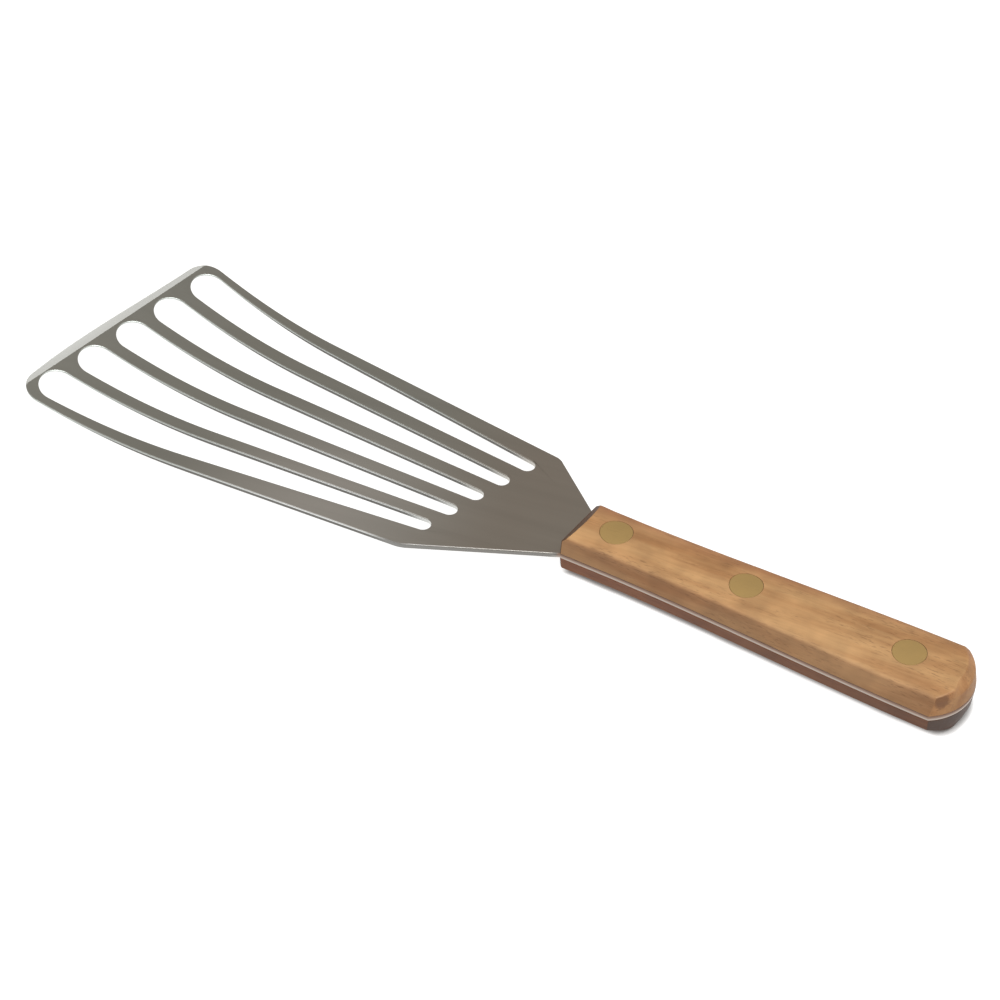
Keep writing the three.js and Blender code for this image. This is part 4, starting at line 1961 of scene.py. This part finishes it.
@dataclass(frozen=True)
class Studio:
    """White sweep, soft lamps and the camera."""

    floor_size: float = 6.0
    floor_drop: float = 0.00005
    floor_tone: Colour = (0.4, 0.4, 0.4)
    floor_bounce_tone: Colour = (0.20, 0.19, 0.18)
    floor_glow: float = 0.87
    # Painted shadow on the floor beside the handle: its reach, depth and samples.
    contact_shadow_reach: float = 0.0019
    contact_shadow_depth: float = 3.0
    contact_shadow_samples: int = 16
    sky_tone: Colour = (0.30, 0.265, 0.23)
    softboxes: tuple[Softbox, ...] = (
        Softbox("left_softbox", 150.0, 38.0, 1.6, 0.7, 1.5),
        Softbox("front_softbox", 230.0, 62.0, 1.5, 1.0, 15.0),
        Softbox("right_softbox", 280.0, 55.0, 1.6, 0.8, 3.0),
    )
    camera_target: Place = (24.853, -1.325, 0.0)
    camera_azimuth: float = 211.33
    camera_elevation: float = 42.836
    camera_roll: float = -0.095
    camera_distance: float = 718.9
    focal_length: float = 94.59
    sensor_width: float = 36.0

    def build_floor(self) -> None:
        """Lays a level floor just below the turner.

        Where it is seen, straight or in a mirror-like surface, it glows besides its lit colour, so that
        it is white with soft shadows. The glow fades by ambient occlusion where the handle lies on the
        floor, a painted shadow. The light it bounces onto dull surfaces is dimmer.
        """
        half = self.floor_size / 2.0
        corner_x, corner_y = np.meshgrid([-half, half], [-half, half], indexing="ij")
        points = stacked(corner_x, corner_y, -self.floor_drop).reshape(-1, 3)
        mesh = bpy.data.meshes.new("floor")
        mesh.from_pydata(points.tolist(), [], [(0, 2, 3, 1)])
        floor = bpy.data.objects.new("floor", mesh)
        bpy.context.scene.collection.objects.link(floor)
        material = bpy.data.materials.new("floor_white")
        bench = NodeBench.emptied(material)
        dull = bench.add("ShaderNodeLightPath").outputs["Is Diffuse Ray"]
        tone = bench.blend(dull, self.floor_tone, self.floor_bounce_tone)
        lit = bench.add("ShaderNodeBsdfDiffuse", {"Color": tone})
        # Painted shadow: the glow fades by ambient occlusion close to the handle.
        contact_shade = bench.add(
            "ShaderNodeAmbientOcclusion", {"Distance": self.contact_shadow_reach}, samples=self.contact_shadow_samples,
        ).outputs["AO"]
        level = bench.math("MULTIPLY", bench.math("POWER", contact_shade, self.contact_shadow_depth), self.floor_glow)
        glow = bench.math("MULTIPLY", level, bench.spread(dull, 1.0, 0.0))
        shown = bench.add("ShaderNodeEmission", {"Color": opaque(WHITE), "Strength": glow})
        both = bench.add("ShaderNodeAddShader", {0: lit.outputs[0], 1: shown.outputs[0]})
        bench.add("ShaderNodeOutputMaterial", {"Surface": both.outputs[0]})
        mesh.materials.append(material)

    def build_world(self) -> None:
        """A dim warmish sky, white where the camera looks past the floor."""
        world = bpy.data.worlds.new("studio_sky")
        bpy.context.scene.world = world
        bench = NodeBench.emptied(world)
        seen = bench.add("ShaderNodeLightPath").outputs["Is Camera Ray"]
        tone = bench.blend(seen, self.sky_tone, WHITE)
        sky = bench.add("ShaderNodeBackground", {"Color": tone, "Strength": 1.0})
        bench.add("ShaderNodeOutputWorld", {"Surface": sky.outputs[0]})

    def build_lamps(self) -> None:
        """Hangs the softboxes, each facing the turner's middle."""
        for box in self.softboxes:
            light = bpy.data.lights.new(box.name, "AREA")
            light.size = box.size
            light.energy = box.power
            lamp = bpy.data.objects.new(box.name, light)
            back = direction(box.azimuth, box.elevation)
            lamp.location = back * box.distance
            lamp.rotation_euler = back.to_track_quat("Z", "Y").to_euler()
            bpy.context.scene.collection.objects.link(lamp)

    def build_camera(self, placement: Placement) -> None:
        """Sets the camera at its angle and distance from its target, with a slight roll.

        Args:
            placement: Carries the target into the frame.
        """
        back = direction(self.camera_azimuth, self.camera_elevation)
        eye = Vector(placement.metres(self.camera_target)) + back * self.camera_distance * METRES_PER_MM
        roll = Matrix.Rotation(math.radians(self.camera_roll), 3, "Z")
        lens = bpy.data.cameras.new("camera")
        lens.lens = self.focal_length
        lens.sensor_width = self.sensor_width
        camera = bpy.data.objects.new("camera", lens)
        turn = back.to_track_quat("Z", "Y").to_matrix() @ roll
        camera.matrix_world = Matrix.LocRotScale(eye, turn, None)
        bpy.context.scene.collection.objects.link(camera)
        bpy.context.scene.camera = camera

    def build(self, placement: Placement) -> None:
        """Builds camera, floor, sky and lamps.

        Args:
            placement: Carries the camera's target into the frame.
        """
        bpy.context.scene.view_settings.view_transform = "Standard"
        self.build_camera(placement)
        self.build_floor()
        self.build_world()
        self.build_lamps()


def main() -> None:
    """Builds the turner's pieces around the frame, dresses them and sets the studio."""
    logging.basicConfig(level=logging.INFO, format="%(name)s: %(message)s")
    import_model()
    placement = Placement.from_frame()
    Studio().build(placement)
    effects = SharedEffects()
    handle = HandleSizes()
    lower_handle = handle.lower()
    blade = Blade(BladeSizes(handle))
    steel = SatinSteel(
        "satin_steel",
        painted_sheen_place=tuple(placement.metres(PAINTED_SHEEN_PLACE)),
        cool_change=placement.metres_along(COOL_CHANGE),
        tang_shadow_change=placement.metres_along(TANG_SHADOW_CHANGE),
    )
    blade.dress(blade.build(placement), steel.material(effects))
    wood = OiledWood(
        "oiled_wood_upper",
        knot_place=tuple(placement.metres(KNOT_PLACE)),
        shade_change=placement.metres_along((0.0, -handle.length)),
    )
    scales = (
        (HandleScale(Layer.UPPER, handle), wood),
        (HandleScale(Layer.LOWER, lower_handle), wood.lower()),
    )
    for scale, scale_wood in scales:
        scale.dress(scale.build(placement), scale_wood.material(effects))
    brass = SandedBrass("sanded_brass").material(effects)
    for place in handle.rivets.distances:
        rivet = Rivet(place, handle, lower_handle)
        rivet.dress(rivet.build_post(placement), rivet.build_sleeve(placement), brass)


if __name__ == "__main__":
    main()
